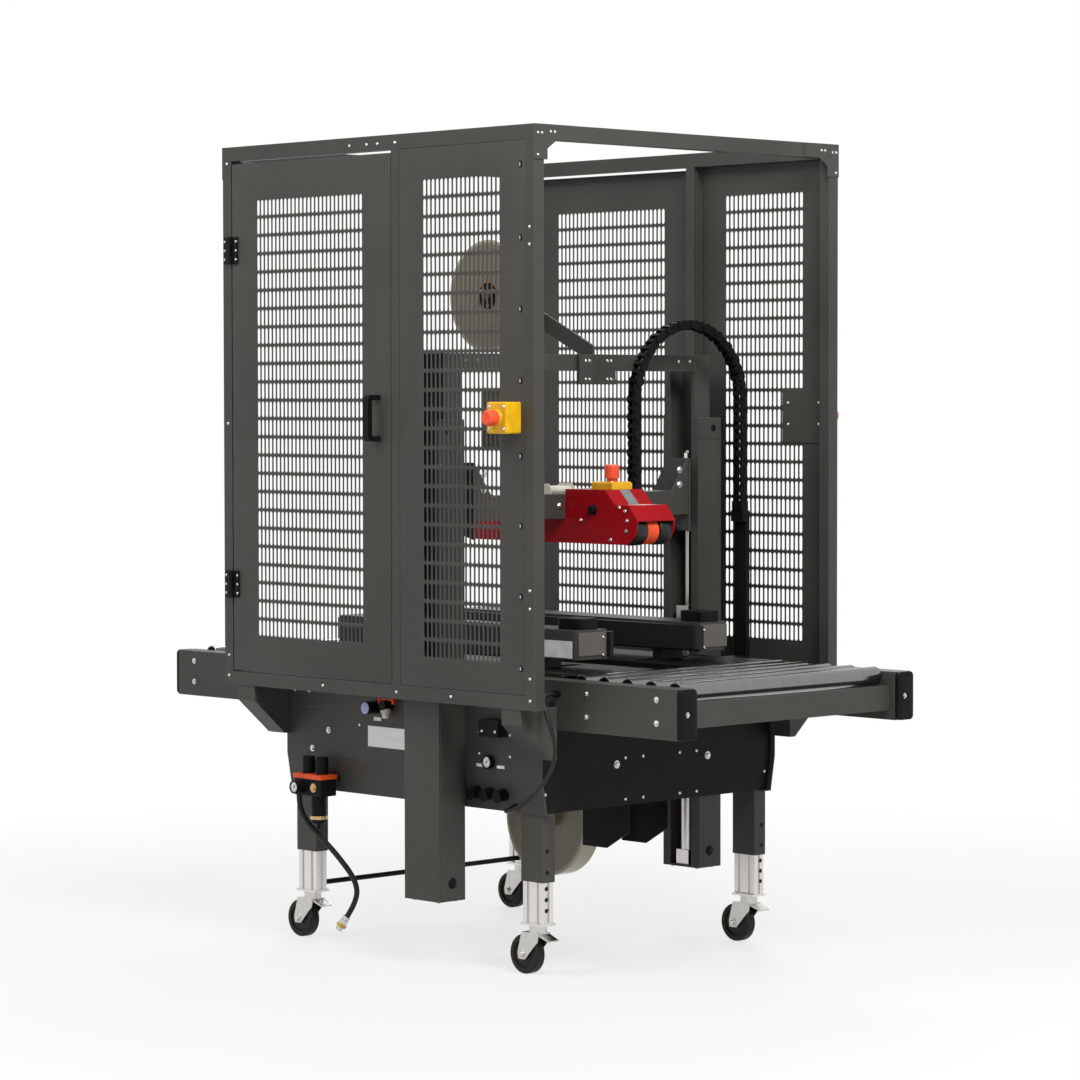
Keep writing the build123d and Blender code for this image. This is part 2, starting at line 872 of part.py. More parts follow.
def tape_roll(x, z):
    """Wound roll on a recessed core, bored for its shaft."""
    half = roll_width / 2
    roll = rod(roll_radius, (x, -half, z), (x, half, z))
    recess = rod(roll_core_radius, (x, -half - 1, z), (x, -half + roll_recess, z))
    roll -= recess
    roll -= far(recess)
    return roll - rod(roll_shaft_radius + pin_running_clearance, (x, -half - 1, z), (x, half + 1, z))


# Head bar and guide block limits
head_bar_high_x = head_bar_low_x + head_bar_width
head_bar_top = head_bar_bottom + head_bar_height
guide_near_y = column_inner_y + channel_wall + guide_back_gap
guide_far_y = column_inner_y + channel_depth - channel_wall - guide_back_gap


def head_carriage():
    """Cross bar, end plates with gussets and the guide blocks in the columns."""
    bar = block((head_bar_low_x, head_bar_high_x), (-carriage_plate_y, carriage_plate_y),
                (head_bar_bottom, head_bar_top))
    plate_outer = carriage_plate_y + carriage_plate_thickness
    low_z = carriage_plate_bottom
    high_z = carriage_plate_top
    plate_high_x = head_bar_high_x + carriage_plate_overhang
    outline = [
        (carriage_plate_low_x + carriage_plate_lean, high_z),
        (plate_high_x, high_z),
        (plate_high_x, low_z),
        (carriage_plate_low_x, low_z + carriage_plate_heel),
        (carriage_plate_low_x, (low_z + high_z) / 2),
    ]
    plate = profile_xz(outline, (-plate_outer, -carriage_plate_y))
    rib = profile_yz([
        (-carriage_plate_y, high_z),
        (-carriage_plate_y, head_bar_top),
        (-carriage_plate_y + carriage_rib_length, head_bar_top),
    ], (head_bar_high_x - carriage_plate_thickness, head_bar_high_x))
    neck_half = channel_mouth / 2 - carriage_neck_gap
    neck = block((column_centre_x - neck_half, column_centre_x + neck_half),
                 (-guide_near_y, -plate_outer),
                 (low_z + carriage_neck_rise, high_z - carriage_neck_drop))
    guide_half = channel_width / 2 - channel_wall - guide_side_gap
    centre_z = (low_z + high_z) / 2
    guide = block((column_centre_x - guide_half, column_centre_x + guide_half),
                  (-guide_far_y, -guide_near_y),
                  (centre_z - guide_block_height / 2, centre_z + guide_block_height / 2))
    guide -= rod(lift_rod_radius + pin_running_clearance,
                 (column_centre_x, -cylinder_y, centre_z - guide_block_height / 2 - 1),
                 (column_centre_x, -cylinder_y, centre_z + guide_block_height / 2 + 1))
    end = plate + rib + neck + guide
    tongue = block((head_bar_high_x, chain_x - chain_width / 2 - chain_clearance),
                   (chain_inner_y - chain_height / 2, chain_inner_y + chain_height / 2),
                   (head_bar_bottom + chain_height / 2, head_bar_top - chain_height / 2))
    return bar + end + far(end) + tongue


def lift_cylinder():
    """Cylinder on the column's foot plate, bored for its rod."""
    x = (column_centre_x - cylinder_cap_width / 2, column_centre_x + cylinder_cap_width / 2)
    y = (-cylinder_y - cylinder_cap_width / 2, -cylinder_y + cylinder_cap_width / 2)
    foot_z = column_bottom + column_foot
    foot = block(x, y, (foot_z, foot_z + cylinder_foot_height))
    head = block(x, y, (cylinder_top - cylinder_head_height, cylinder_top))
    tube = rod(cylinder_radius, (column_centre_x, -cylinder_y, foot_z),
               (column_centre_x, -cylinder_y, cylinder_top))
    lowest_rod_end = lift_rod_bottom - lift_travel_down
    bore = rod(lift_rod_radius + pin_running_clearance,
               (column_centre_x, -cylinder_y, lowest_rod_end - cylinder_bore_end),
               (column_centre_x, -cylinder_y, cylinder_top + 1))
    return foot + head + tube - bore


def lift_rod():
    """Rod through the guide block, with its nut on top."""
    nut_z = (carriage_plate_bottom + carriage_plate_top + guide_block_height) / 2
    bar = rod(lift_rod_radius, (column_centre_x, -cylinder_y, lift_rod_bottom),
              (column_centre_x, -cylinder_y, nut_z + 1.5 * lift_nut_height))
    nut = Plane((column_centre_x, -cylinder_y, nut_z)) * RegularPolygon(lift_nut_radius, 6)
    return bar + extrude(nut, amount=lift_nut_height)


def head_guide_rollers():
    """Two idler rollers between two upright plates on the housing's rear roof."""
    half = guide_roller_half
    low_x = guide_roller_places[0] - guide_plate_margin
    high_x = guide_roller_places[-1] + guide_plate_margin
    plate = block((low_x, high_x), (-half - guide_plate_thickness, -half),
                  (head_bar_bottom, guide_roller_z + guide_plate_margin))
    plate = chamfer(plate.edges().filter_by(Axis.Y).sort_by(Axis.Z)[-2:], guide_roller_radius)
    unit = plate + far(plate)
    for x in guide_roller_places:
        unit += rod(guide_roller_radius, (x, -half, guide_roller_z), (x, half, guide_roller_z))
    return unit


def head_outline():
    """Side view of the red housing, from the rear to the rounded nose."""
    bar_front = head_bar_high_x
    lines = Polyline(
        (head_nose_x, 0, head_bottom),
        (head_rear_x, 0, head_bottom),
        (head_rear_x, 0, head_bar_bottom),
        (bar_front, 0, head_bar_bottom),
        (bar_front, 0, head_roof_z),
        (head_roof_front_x, 0, head_roof_z),
        (head_step_rear_x, 0, head_step_z),
        (head_step_front_x, 0, head_step_z),
        (head_lip_x, 0, head_lip_z),
        (head_nose_x + head_nose_radius, 0, head_bottom + head_nose_radius),
    )
    nose = CenterArc(center=(0, 0, 0), radius=head_nose_radius, start_angle=-90, arc_size=90)
    nose = Plane((head_nose_x, 0, head_bottom + head_nose_radius), x_dir=(1, 0, 0),
                 z_dir=(0, -1, 0)) * nose
    return make_face([lines, nose])


def head_housing():
    """Two side plates under a folded roof, open at the nose and below."""
    face = head_outline()
    full = extrude(face, amount=head_half_width, dir=(0, 1, 0), both=True)
    inner_y = (-head_half_width + head_sheet, head_half_width - head_sheet)
    bar_front = head_bar_high_x
    inner = profile_xz([
        (head_rear_x - 1, head_bottom - 1),
        (head_rear_x - 1, head_bar_bottom - head_sheet),
        (bar_front + head_sheet, head_bar_bottom - head_sheet),
        (bar_front + head_sheet, head_roof_z - head_sheet),
        (head_roof_front_x - 1, head_roof_z - head_sheet),
        (head_step_rear_x - 1, head_step_z - head_sheet),
        (head_step_front_x - 2, head_step_z - head_sheet),
        (head_lip_x - 1, head_lip_z - head_sheet),
        (head_lip_x + head_lip_opening, head_lip_z - 2 * head_sheet),
        (head_lip_x + head_lip_opening, head_bottom - 1),
    ], inner_y)
    shell = full - inner
    bore = rod(head_roller_shaft_radius + pin_running_clearance,
               (head_roller_x, -head_half_width - 1, head_roller_z),
               (head_roller_x, head_half_width + 1, head_roller_z))
    core = block((head_rear_x + head_core_inset, head_step_rear_x - head_core_inset), inner_y,
                 (head_bottom + head_core_rise, head_bar_bottom - head_sheet))
    return shell + core - bore


def head_roller():
    """Two dark wipe-down rollers and the centre roller on one shaft."""
    outer = head_half_width - head_sheet - 1
    centre = head_centre_roller_width / 2
    half = head_half_width + 2

    def at(y):
        return (head_roller_x, y, head_roller_z)

    shaft = rod(head_roller_shaft_radius, at(-half), at(half))
    middle = rod(head_centre_roller_radius, at(-centre), at(centre))
    hub = rod(2 * head_roller_shaft_radius, at(-outer), at(outer))
    wheel = rod(head_roller_radius, at(-outer), at(-centre - head_roller_groove))
    return shaft + middle + hub + wheel + far(wheel)


def head_stop_box():
    half = stop_box_width / 2
    box = block((head_stop_x - half, head_stop_x + half), (-half, half),
                (head_roof_z, head_roof_z + head_stop_height))
    return chamfer(box.faces().sort_by(Axis.Z)[-1].edges(), 4)


def head_stop_button():
    """Mushroom button that stands up on the head's stop box."""
    base = head_roof_z + head_stop_height
    neck_top = base + stop_collar_height
    top = base + stop_button_height + stop_collar_height
    collar = rod(stop_collar_radius, (head_stop_x, 0, base), (head_stop_x, 0, neck_top))
    head = rod(stop_button_radius, (head_stop_x, 0, neck_top), (head_stop_x, 0, top))
    return collar + fillet(head.edges().sort_by(Axis.Z)[-1], 6)


def drive_housing():
    """Long belt housing on two guided feet."""
    inner_y = -belt_inner_y - belt_thickness
    outer_y = inner_y - drive_width
    top_z = drive_bottom + drive_height
    body = block((-drive_half_length, drive_half_length), (outer_y, inner_y),
                 (drive_bottom, top_z))
    outer_corners = body.edges().filter_by(Axis.Z).sort_by(Axis.Y)[:2]
    housing = fillet(outer_corners, drive_corner)
    centre_y = (outer_y + inner_y) / 2
    for side in (-1, 1):
        x = side * slide_shaft_x
        foot = block((x - slide_foot_width / 2, x + slide_foot_width / 2),
                     (centre_y - slide_foot_length / 2, centre_y + slide_foot_length / 2),
                     (slide_shaft_z - slide_foot_width / 2, drive_bottom))
        bore = rod(slide_shaft_radius + pin_running_clearance,
                   (x, outer_y, slide_shaft_z), (x, inner_y, slide_shaft_z))
        housing += foot - bore
    return housing


def drive_cover():
    """Moulded cover over the belt's pulley, on top of the housing."""
    centre_y = -belt_inner_y - belt_thickness - drive_width / 2
    top_z = drive_bottom + drive_height
    cover = block((drive_cover_low_x, drive_cover_low_x + drive_cover_length),
                  (centre_y - drive_cover_width / 2, centre_y + drive_cover_width / 2),
                  (top_z, top_z + drive_cover_height))
    cover = fillet(cover.edges().filter_by(Axis.Z), drive_corner)
    return fillet(cover.faces().sort_by(Axis.Z)[-1].edges(), drive_corner / 6)


def drive_belt():
    """Flat belt around the drive, one fixed loop with round ends."""
    centre_z = drive_bottom + drive_height / 2
    belt = block((-belt_half_length, belt_half_length),
                 (-belt_inner_y - belt_thickness, -belt_inner_y),
                 (centre_z - belt_height / 2, centre_z + belt_height / 2))
    inner_corners = belt.edges().filter_by(Axis.Z).sort_by(Axis.Y)[-2:]
    return fillet(inner_corners, belt_thickness - 2)


def slide_shaft():
    """Guide shaft from the rail to the deck's inner flange."""
    return rod(slide_shaft_radius, (slide_shaft_x, -rail_inner_y, slide_shaft_z),
               (slide_shaft_x, -lower_head_half_width - deck_thickness, slide_shaft_z))


def lower_taping_head():
    """Two profiled side plates, their spacers and the lower roll's shaft."""
    hub = roll_arm_width / 2
    outline = [
        (lower_head_rear_x, lower_head_belly_z),
        (lower_head_rear_x, deck_top),
        (lower_head_front_x, deck_top),
        (lower_head_front_x, lower_head_toe_z),
        (lower_head_front_x - lower_head_toe_length, lower_head_tail_z),
        (lower_head_tail_low_x, lower_head_tail_z),
        (lower_head_tail_low_x, lower_head_belly_z),
        (lower_roll_x + 3 * hub, lower_head_belly_z),
        (lower_roll_x + hub, lower_roll_z - hub / 2),
        (lower_roll_x, lower_roll_z - hub),
        (lower_roll_x - hub, lower_roll_z - hub / 2),
        (lower_roll_x - hub, lower_head_belly_z),
    ]
    outer = -lower_head_half_width
    plate = profile_xz(outline, (outer, outer + lower_head_sheet))
    inner_y = lower_head_half_width - lower_head_sheet
    spacer_z = (deck_top - lower_head_spacer_drop[0], deck_top - lower_head_spacer_drop[1])
    rear_x = lower_head_rear_x + lower_head_spacer_inset
    front_x = lower_head_front_x - lower_head_spacer_inset - lower_head_spacer_length
    unit = plate + far(plate)
    for x in (rear_x, front_x):
        unit += block((x, x + lower_head_spacer_length), (-inner_y, inner_y), spacer_z)
    unit += rod(roll_shaft_radius, (lower_roll_x, -inner_y, lower_roll_z),
                (lower_roll_x, inner_y, lower_roll_z))
    return unit


def enclosure_bracket():
    """Tapered arm from the bed side out to the bottom of the guard frame."""
    outline = [
        (-rail_outer_y, enclosure_bottom),
        (near_face_y + bracket_face_setback, enclosure_bottom),
        (near_face_y + bracket_face_setback, enclosure_bottom - bracket_face_height),
        (-rail_outer_y - bracket_foot, bracket_root_z),
        (-rail_outer_y, bracket_root_z),
    ]
    return profile_yz(outline, (bracket_x - bracket_width / 2, bracket_x + bracket_width / 2))


def chain_centreline():
    """Two legs joined by a half circle over the top."""
    radius = (chain_outer_y - chain_inner_y) / 2
    spring_z = chain_apex_z - radius
    inner = Line((chain_x, chain_inner_y, chain_inner_end_z), (chain_x, chain_inner_y, spring_z))
    top = ThreePointArc((chain_x, chain_inner_y, spring_z),
                        (chain_x, chain_inner_y + radius, chain_apex_z),
                        (chain_x, chain_outer_y, spring_z))
    outer = Line((chain_x, chain_outer_y, spring_z), (chain_x, chain_outer_y, chain_outer_end_z))
    return inner + top + outer


def energy_chain():
    """Cable chain as one fixed loop."""
    start = Plane((chain_x, chain_inner_y, chain_inner_end_z), x_dir=(0, 1, 0), z_dir=(0, 0, 1))
    section = start * Rectangle(chain_height, chain_width)
    return sweep(section, path=chain_centreline())


def chain_post():
    """Upright on the far rail's outer face that carries the fixed end of the chain."""
    x = (chain_x - chain_post_width / 2, chain_x + chain_post_width / 2)
    outer_y = chain_outer_y + chain_height / 2
    head_bottom_z = chain_outer_end_z - chain_post_head
    foot_z = rail_top - chain_foot_height
    foot = block(x, (rail_outer_y, outer_y), (foot_z, rail_top))
    post = block(x, (outer_y - chain_post_depth, outer_y), (foot_z, head_bottom_z))
    head = block(x, (chain_outer_y - chain_height / 2, outer_y), (head_bottom_z, chain_outer_end_z))
    return foot + post + head


def air_unit():
    """Filter and regulator on a bracket: body, two knobs and the bowl."""
    x = (air_x - air_width / 2, air_x + air_width / 2)
    y = (air_y - air_depth / 2, air_y + air_depth / 2)
    top = air_body_bottom + air_body_height
    body = block(x, y, (air_body_bottom, top))
    body = fillet(body.edges().filter_by(Axis.Z), 5)
    cap_base = top + air_band_height
    quarter = air_width / 4
    for side in (-1, 1):
        knob_x = air_x + side * quarter
        body += rod(air_knob_radius, (knob_x, air_y, top), (knob_x, air_y, cap_base + air_knob_height))
    bowl_bottom = air_body_bottom - air_bowl_height
    bowl = rod(air_bowl_radius, (air_x + quarter / 2, air_y, bowl_bottom),
               (air_x + quarter / 2, air_y, air_body_bottom))
    body += fillet(bowl.edges().sort_by(Axis.Z)[0], 6)
    body += rod(5, (air_x + quarter / 2, air_y, bowl_bottom - 14),
                (air_x + quarter / 2, air_y, bowl_bottom))
    lean = (rail_outer_y - bed_bottom_y) / (bed_fold_z - bed_bottom)
    side_y = -rail_outer_y + lean * (bed_fold_z - top)
    bracket = block((x[0] + 10, x[1] - 10), (y[1], side_y), (top - air_bracket_thickness, top))
    elbow = rod(air_elbow_radius, (air_elbow_x, air_y, air_elbow_bottom),
                (air_elbow_x, air_y, air_elbow_top))
    inlet_z = air_body_bottom + air_body_height / 2
    elbow += rod(air_elbow_radius - 2, (air_elbow_x, air_y, inlet_z), (x[0] + 1, air_y, inlet_z))
    return body + bracket + elbow


def air_unit_band():
    """Coloured locking band between the body and the knobs."""
    top = air_body_bottom + air_body_height
    quarter = air_width / 4
    band = block((air_x - air_width / 2 - 2, air_x + air_width / 2 + 2),
                 (air_y - air_depth / 2 - 2, air_y + air_depth / 2), (top, top + air_band_height))
    for side in (-1, 1):
        knob_x = air_x + side * quarter
        band -= rod(air_knob_radius, (knob_x, air_y, top - 1), (knob_x, air_y, top + air_band_height + 1))
    return band


def leaning_sheet(x, z):
    """Plane on the outside of the lower, leaning part of the bed side."""
    lean = (rail_outer_y - bed_bottom_y) / (bed_fold_z - bed_bottom)
    y = -rail_outer_y + lean * (bed_fold_z - z)
    return Plane(origin=(x, y, z), z_dir=(0, -1, -lean))


def bed_side_fittings():
    """Two gauges, flow knobs, limit switch box, valve and air inlet."""
    unit_face = air_y - air_depth / 2
    unit_z = air_body_bottom + air_body_height / 2
    unit_x = air_x - air_width / 4
    pieces = [rod(gauge_radius, (unit_x, unit_face - gauge_depth, unit_z),
                  (unit_x, unit_face, unit_z))]

    def on_side(radius, x, z, length):
        return rod(radius, (x, -rail_outer_y - length, z), (x, -rail_outer_y, z))

    pieces.append(on_side(gauge_radius, panel_gauge_x, panel_gauge_z, panel_gauge_depth))
    pieces.append(on_side(valve_radius, valve_x, valve_z, valve_length))
    pieces.append(on_side(inlet_radius, inlet_x, inlet_z, inlet_length))
    pieces.append(on_side(gland_radius, cable_route[0][0], cable_route[0][2], gland_length))
    box_y = (-rail_outer_y - limit_box_depth, -rail_outer_y)
    pieces.append(block(limit_box_x, box_y, limit_box_z))
    low = (Align.CENTER, Align.CENTER, Align.MIN)
    gland = Cylinder(gland_radius, gland_length, align=low)
    pieces.append(leaning_sheet(lower_gland_x, lower_gland_z) * gland)
    for x in flow_knob_places:
        knob = Cylinder(flow_knob_radius, flow_knob_length, align=low)
        pieces.append(leaning_sheet(x, flow_knob_z) * knob)
    return pieces


def directions_of(route):
    """Unit direction of each run of a cord's route."""
    points = [Vector(*point) for point in route]
    return [(b - a).normalized() for a, b in zip(points, points[1:])]


def corner_radii(route):
    """Largest arc that each corner's two runs leave room for."""
    points = [Vector(*point) for point in route]
    runs = [(b - a).length for a, b in zip(points, points[1:])]
    directions = directions_of(route)
    radii = []
    for i in range(len(runs) - 1):
        turn = math.radians(directions[i].get_angle(directions[i + 1]))
        radii.append(0.45 * min(runs[i], runs[i + 1]) / math.tan(turn / 2))
    return radii


def cord_tube(name, route, radius):
    """Round tube along the route, its corners rounded by tangent arcs."""
    radii = corner_radii(route)
    print(name, "corner radii", [round(corner, 1) for corner in radii])
    path = FilletPolyline(*route, radius=radii)
    section = Plane(origin=route[0], z_dir=directions_of(route)[0]) * Circle(radius)
    tube = sweep(section, path=path)
    expected = math.pi * radius ** 2 * path.length
    print(name, "length", round(path.length, 1), "volume ratio", round(tube.volume / expected, 4))
    return tube


def hose_coupling():
    """Quick coupling on the free end of the hose."""
    plane = Plane(origin=hose_route[-1], z_dir=directions_of(hose_route)[-1])
    low = (Align.CENTER, Align.CENTER, Align.MIN)
    body = plane * Cylinder(coupling_radius, coupling_length, align=low)
    ring = Pos(0, 0, coupling_length / 2) * Cylinder(
        coupling_ring_radius, coupling_ring_length, align=low)
    return body + plane * ring


def write_node(name, shapes):
    """Writes one node: a single solid or several that don't touch."""
    if isinstance(shapes, list):
        solids = []
        for shape in shapes:
            solids.extend(shape.solids())
        shape = Compound(children=solids)
    else:
        shape = shapes
    export_step(shape, "parts/" + name + ".step")


os.makedirs("parts", exist_ok=True)

near_frame = side_frame()
write_node("near_frame", near_frame)
write_node("far_frame", far(near_frame))
exit_beam = top_beam()
write_node("top_beams", [exit_beam, infeed(exit_beam)])

near_panel = fixed_panel()
write_node("fixed_panels", near_panel + [far(piece) for piece in near_panel])
near_door = door()
write_node("near_door", near_door)
write_node("far_door", far(near_door))
fittings = door_fittings()
write_node("near_door_fittings", fittings)
write_node("far_door_fittings", [far(piece) for piece in fittings])
post_hinges = [post_hinge(z) for z in hinge_centres_z]
write_node("post_hinges", post_hinges + [far(piece) for piece in post_hinges])

write_node("stop_boxes", both_sides(stop_box()))
write_node("stop_buttons", both_sides(stop_button()))

write_node("side_rails", both_sides(side_rail()))
write_node("rail_end_caps", four_corners(end_cap()))
exit_end_beam = end_cross_beam()
write_node("end_cross_beams", [exit_end_beam, infeed(exit_end_beam)])
rollers = exit_rollers()
write_node("exit_rollers", rollers)
write_node("infeed_rollers", [infeed(piece) for piece in rollers])
write_node("bed_deck", both_sides(deck_plate()))
write_node("bed_sides", both_sides(bed_side()))
exit_bed_end = bed_end()
write_node("bed_ends", [exit_bed_end, infeed(exit_bed_end)])

write_node("leg_sleeves", four_corners(leg_sleeve()))
write_node("inner_legs", four_corners(inner_leg()))
write_node("tie_bar", tie_bar())
corner_names = {
    "near_exit": (1, -1),
    "far_exit": (1, 1),
    "near_infeed": (-1, -1),
    "far_infeed": (-1, 1),
}
for corner, (end, side) in corner_names.items():
    write_node(corner + "_caster_fork", caster_fork(end * leg_x, side * leg_y))
    write_node(corner + "_caster_wheel", caster_wheel(end * leg_x, side * leg_y))

write_node("columns", both_sides(column()))
write_node("column_crossbeam", column_crossbeam())
write_node("roll_bracket", roll_bracket())
write_node("upper_tape_roll", tape_roll(upper_roll_x, upper_roll_z))
write_node("lower_tape_roll", tape_roll(lower_roll_x, lower_roll_z))
write_node("lower_taping_head", lower_taping_head())

write_node("lift_cylinders", both_sides(lift_cylinder()))
write_node("lift_rods", both_sides(lift_rod()))
write_node("head_carriage", head_carriage())
write_node("head_housing", head_housing())
write_node("head_guide_rollers", head_guide_rollers())
write_node("head_roller", head_roller())
write_node("head_stop_box", head_stop_box())
write_node("head_stop_button", head_stop_button())

near_drive = drive_housing()
write_node("near_side_drive", near_drive)
write_node("far_side_drive", far(near_drive))
near_cover = drive_cover()
write_node("near_drive_cover", near_cover)
write_node("far_drive_cover", far(near_cover))
near_belt = drive_belt()
write_node("near_drive_belt", near_belt)
write_node("far_drive_belt", far(near_belt))
write_node("drive_slide_shafts", four_corners(slide_shaft()))

write_node("enclosure_brackets", four_corners(enclosure_bracket()))
write_node("energy_chain", energy_chain())
write_node("chain_post", chain_post())
write_node("air_unit", air_unit())
write_node("air_unit_band", air_unit_band())
write_node("bed_side_fittings", bed_side_fittings())
write_node("drive_cable", cord_tube("drive_cable", cable_route, cable_radius))
write_node("supply_hose", cord_tube("supply_hose", hose_route, hose_radius))
write_node("hose_coupling", hose_coupling())
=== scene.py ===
import json
import math

import bmesh
import bpy
from mathutils import Matrix, Vector


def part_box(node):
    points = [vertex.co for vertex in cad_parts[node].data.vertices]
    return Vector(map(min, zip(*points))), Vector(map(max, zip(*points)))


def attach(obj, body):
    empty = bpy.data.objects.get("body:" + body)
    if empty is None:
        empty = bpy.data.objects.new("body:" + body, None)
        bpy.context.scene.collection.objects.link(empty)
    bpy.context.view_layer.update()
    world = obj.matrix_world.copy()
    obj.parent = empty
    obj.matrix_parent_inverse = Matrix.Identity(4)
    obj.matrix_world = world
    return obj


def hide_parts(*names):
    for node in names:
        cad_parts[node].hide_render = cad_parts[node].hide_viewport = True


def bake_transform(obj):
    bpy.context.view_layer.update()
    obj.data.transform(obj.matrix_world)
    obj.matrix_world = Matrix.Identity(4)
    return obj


# All sizes are in metres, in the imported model's frame: +X towards the exit end of the
# conveyor, -Y the side with the near door, +Z up.

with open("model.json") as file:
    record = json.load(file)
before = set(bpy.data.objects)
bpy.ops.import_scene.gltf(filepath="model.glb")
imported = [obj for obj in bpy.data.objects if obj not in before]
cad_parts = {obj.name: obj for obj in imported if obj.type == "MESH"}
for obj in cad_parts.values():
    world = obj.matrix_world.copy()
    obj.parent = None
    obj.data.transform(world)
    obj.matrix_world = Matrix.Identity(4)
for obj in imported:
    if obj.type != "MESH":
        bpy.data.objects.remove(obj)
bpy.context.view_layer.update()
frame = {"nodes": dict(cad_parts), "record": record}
nodes = frame["nodes"]

scene = bpy.context.scene
scene.view_settings.view_transform = "Standard"


# Camera

camera_lens_mm = 119.67
camera_place = (7.006, -6.688, 1.479)
camera_azimuth = math.radians(46.16)
camera_pitch = math.radians(-2.33)
camera_roll = math.radians(-0.07)


def add_camera():
    data = bpy.data.cameras.new("camera")
    data.lens = camera_lens_mm
    data.sensor_width = 36.0
    data.clip_end = 100.0
    obj = bpy.data.objects.new("camera", data)
    scene.collection.objects.link(obj)
    turn = Matrix.Rotation(camera_azimuth, 4, "Z")
    tilt = Matrix.Rotation(math.radians(90) + camera_pitch, 4, "X")
    roll = Matrix.Rotation(camera_roll, 4, "Z")
    obj.matrix_world = Matrix.Translation(camera_place) @ turn @ tilt @ roll
    scene.camera = obj


# Shader helpers

def new_shader(name, color, roughness, metallic=0.0, gloss=0.5):
    """Material with its Principled shader's plain values set on the sockets."""
    material = bpy.data.materials.new(name)
    material.use_nodes = True
    tree = material.node_tree
    shader = tree.nodes["Principled BSDF"]
    shader.inputs["Base Color"].default_value = (*color, 1.0)
    shader.inputs["Roughness"].default_value = roughness
    shader.inputs["Metallic"].default_value = metallic
    shader.inputs["Specular IOR Level"].default_value = gloss
    return material, tree, shader


def noise(tree, scale, detail=3.0, stretch=(1.0, 1.0, 1.0)):
    """Noise in object space, squeezed or stretched along the axes."""
    source = tree.nodes.new("ShaderNodeTexCoord")
    mapping = tree.nodes.new("ShaderNodeMapping")
    mapping.inputs["Scale"].default_value = stretch
    texture = tree.nodes.new("ShaderNodeTexNoise")
    texture.inputs["Scale"].default_value = scale
    texture.inputs["Detail"].default_value = detail
    tree.links.new(source.outputs["Object"], mapping.inputs["Vector"])
    tree.links.new(mapping.outputs["Vector"], texture.inputs["Vector"])
    return texture.outputs["Fac"]


def remap(tree, value, low, high, from_low=0.3, from_high=0.7):
    node = tree.nodes.new("ShaderNodeMapRange")
    node.inputs["From Min"].default_value = from_low
    node.inputs["From Max"].default_value = from_high
    node.inputs["To Min"].default_value = low
    node.inputs["To Max"].default_value = high
    tree.links.new(value, node.inputs["Value"])
    return node.outputs["Result"]


def blend_colors(tree, factor, first, second):
    """Colour between two, each a plain colour or another node's output."""
    node = tree.nodes.new("ShaderNodeMix")
    node.data_type = "RGBA"
    tree.links.new(factor, node.inputs["Factor"])
    colors = [socket for socket in node.inputs if socket.type == "RGBA"]
    for socket, value in zip(colors, (first, second)):
        if isinstance(value, tuple):
            socket.default_value = (*value, 1.0)
        else:
            tree.links.new(value, socket)
    return [socket for socket in node.outputs if socket.type == "RGBA"][0]


def soft_edge(tree, radius):
    """Normal of a small bevel along the edges."""
    bevel = tree.nodes.new("ShaderNodeBevel")
    bevel.samples = 4
    bevel.inputs["Radius"].default_value = radius
    return bevel.outputs["Normal"]


def edge_wear(tree, normal):
    """0 on flat faces, 1 on edges, from the normal of a small bevel."""
    geometry = tree.nodes.new("ShaderNodeNewGeometry")
    dot = tree.nodes.new("ShaderNodeVectorMath")
    dot.operation = "DOT_PRODUCT"
    tree.links.new(normal, dot.inputs[0])
    tree.links.new(geometry.outputs["Normal"], dot.inputs[1])
    return remap(tree, dot.outputs["Value"], 1.0, 0.0, 0.80, 0.99)


def set_bump(tree, shader, height, distance, strength, normal=None):
    node = tree.nodes.new("ShaderNodeBump")
    node.inputs["Strength"].default_value = strength
    node.inputs["Distance"].default_value = distance
    tree.links.new(height, node.inputs["Height"])
    if normal:
        tree.links.new(normal, node.inputs["Normal"])
    tree.links.new(node.outputs["Normal"], shader.inputs["Normal"])


def coated(name, color, worn, roughness, gloss, grain=700.0, depth=0.00016):
    """Powder coat or enamel: fine orange peel, faint mottling, lighter worn edges."""
    material, tree, shader = new_shader(name, color, roughness, gloss=gloss)
    mottle = noise(tree, 3.0, 4.0)
    darker = tuple(0.86 * c for c in color)
    lighter = tuple(1.12 * c for c in color)
    body = blend_colors(tree, remap(tree, mottle, 0.0, 1.0), darker, lighter)
    normal = soft_edge(tree, 0.0012)
    wear = edge_wear(tree, normal)
    tree.links.new(blend_colors(tree, wear, body, worn), shader.inputs["Base Color"])
    speckle = noise(tree, 60.0, 4.0)
    tree.links.new(remap(tree, speckle, roughness - 0.06, roughness + 0.07),
                   shader.inputs["Roughness"])
    set_bump(tree, shader, noise(tree, grain, 2.0), depth, 0.6, normal)
    return material


def moulded(name, color, roughness, grain=1500.0, depth=0.00008, gloss=0.3):
    """Moulded plastic or rubber with a fine matt grain and soft edges."""
    material, tree, shader = new_shader(name, color, roughness, gloss=gloss)
    mottle = noise(tree, 25.0, 3.0)
    darker = tuple(0.85 * c for c in color)
    lighter = tuple(min(1.0, 1.15 * c) for c in color)
    tree.links.new(blend_colors(tree, remap(tree, mottle, 0.0, 1.0), darker, lighter),
                   shader.inputs["Base Color"])
    tree.links.new(remap(tree, noise(tree, 90.0, 3.0), roughness - 0.08, roughness + 0.08),
                   shader.inputs["Roughness"])
    set_bump(tree, shader, noise(tree, grain, 2.0), depth, 0.5, soft_edge(tree, 0.001))
    return material


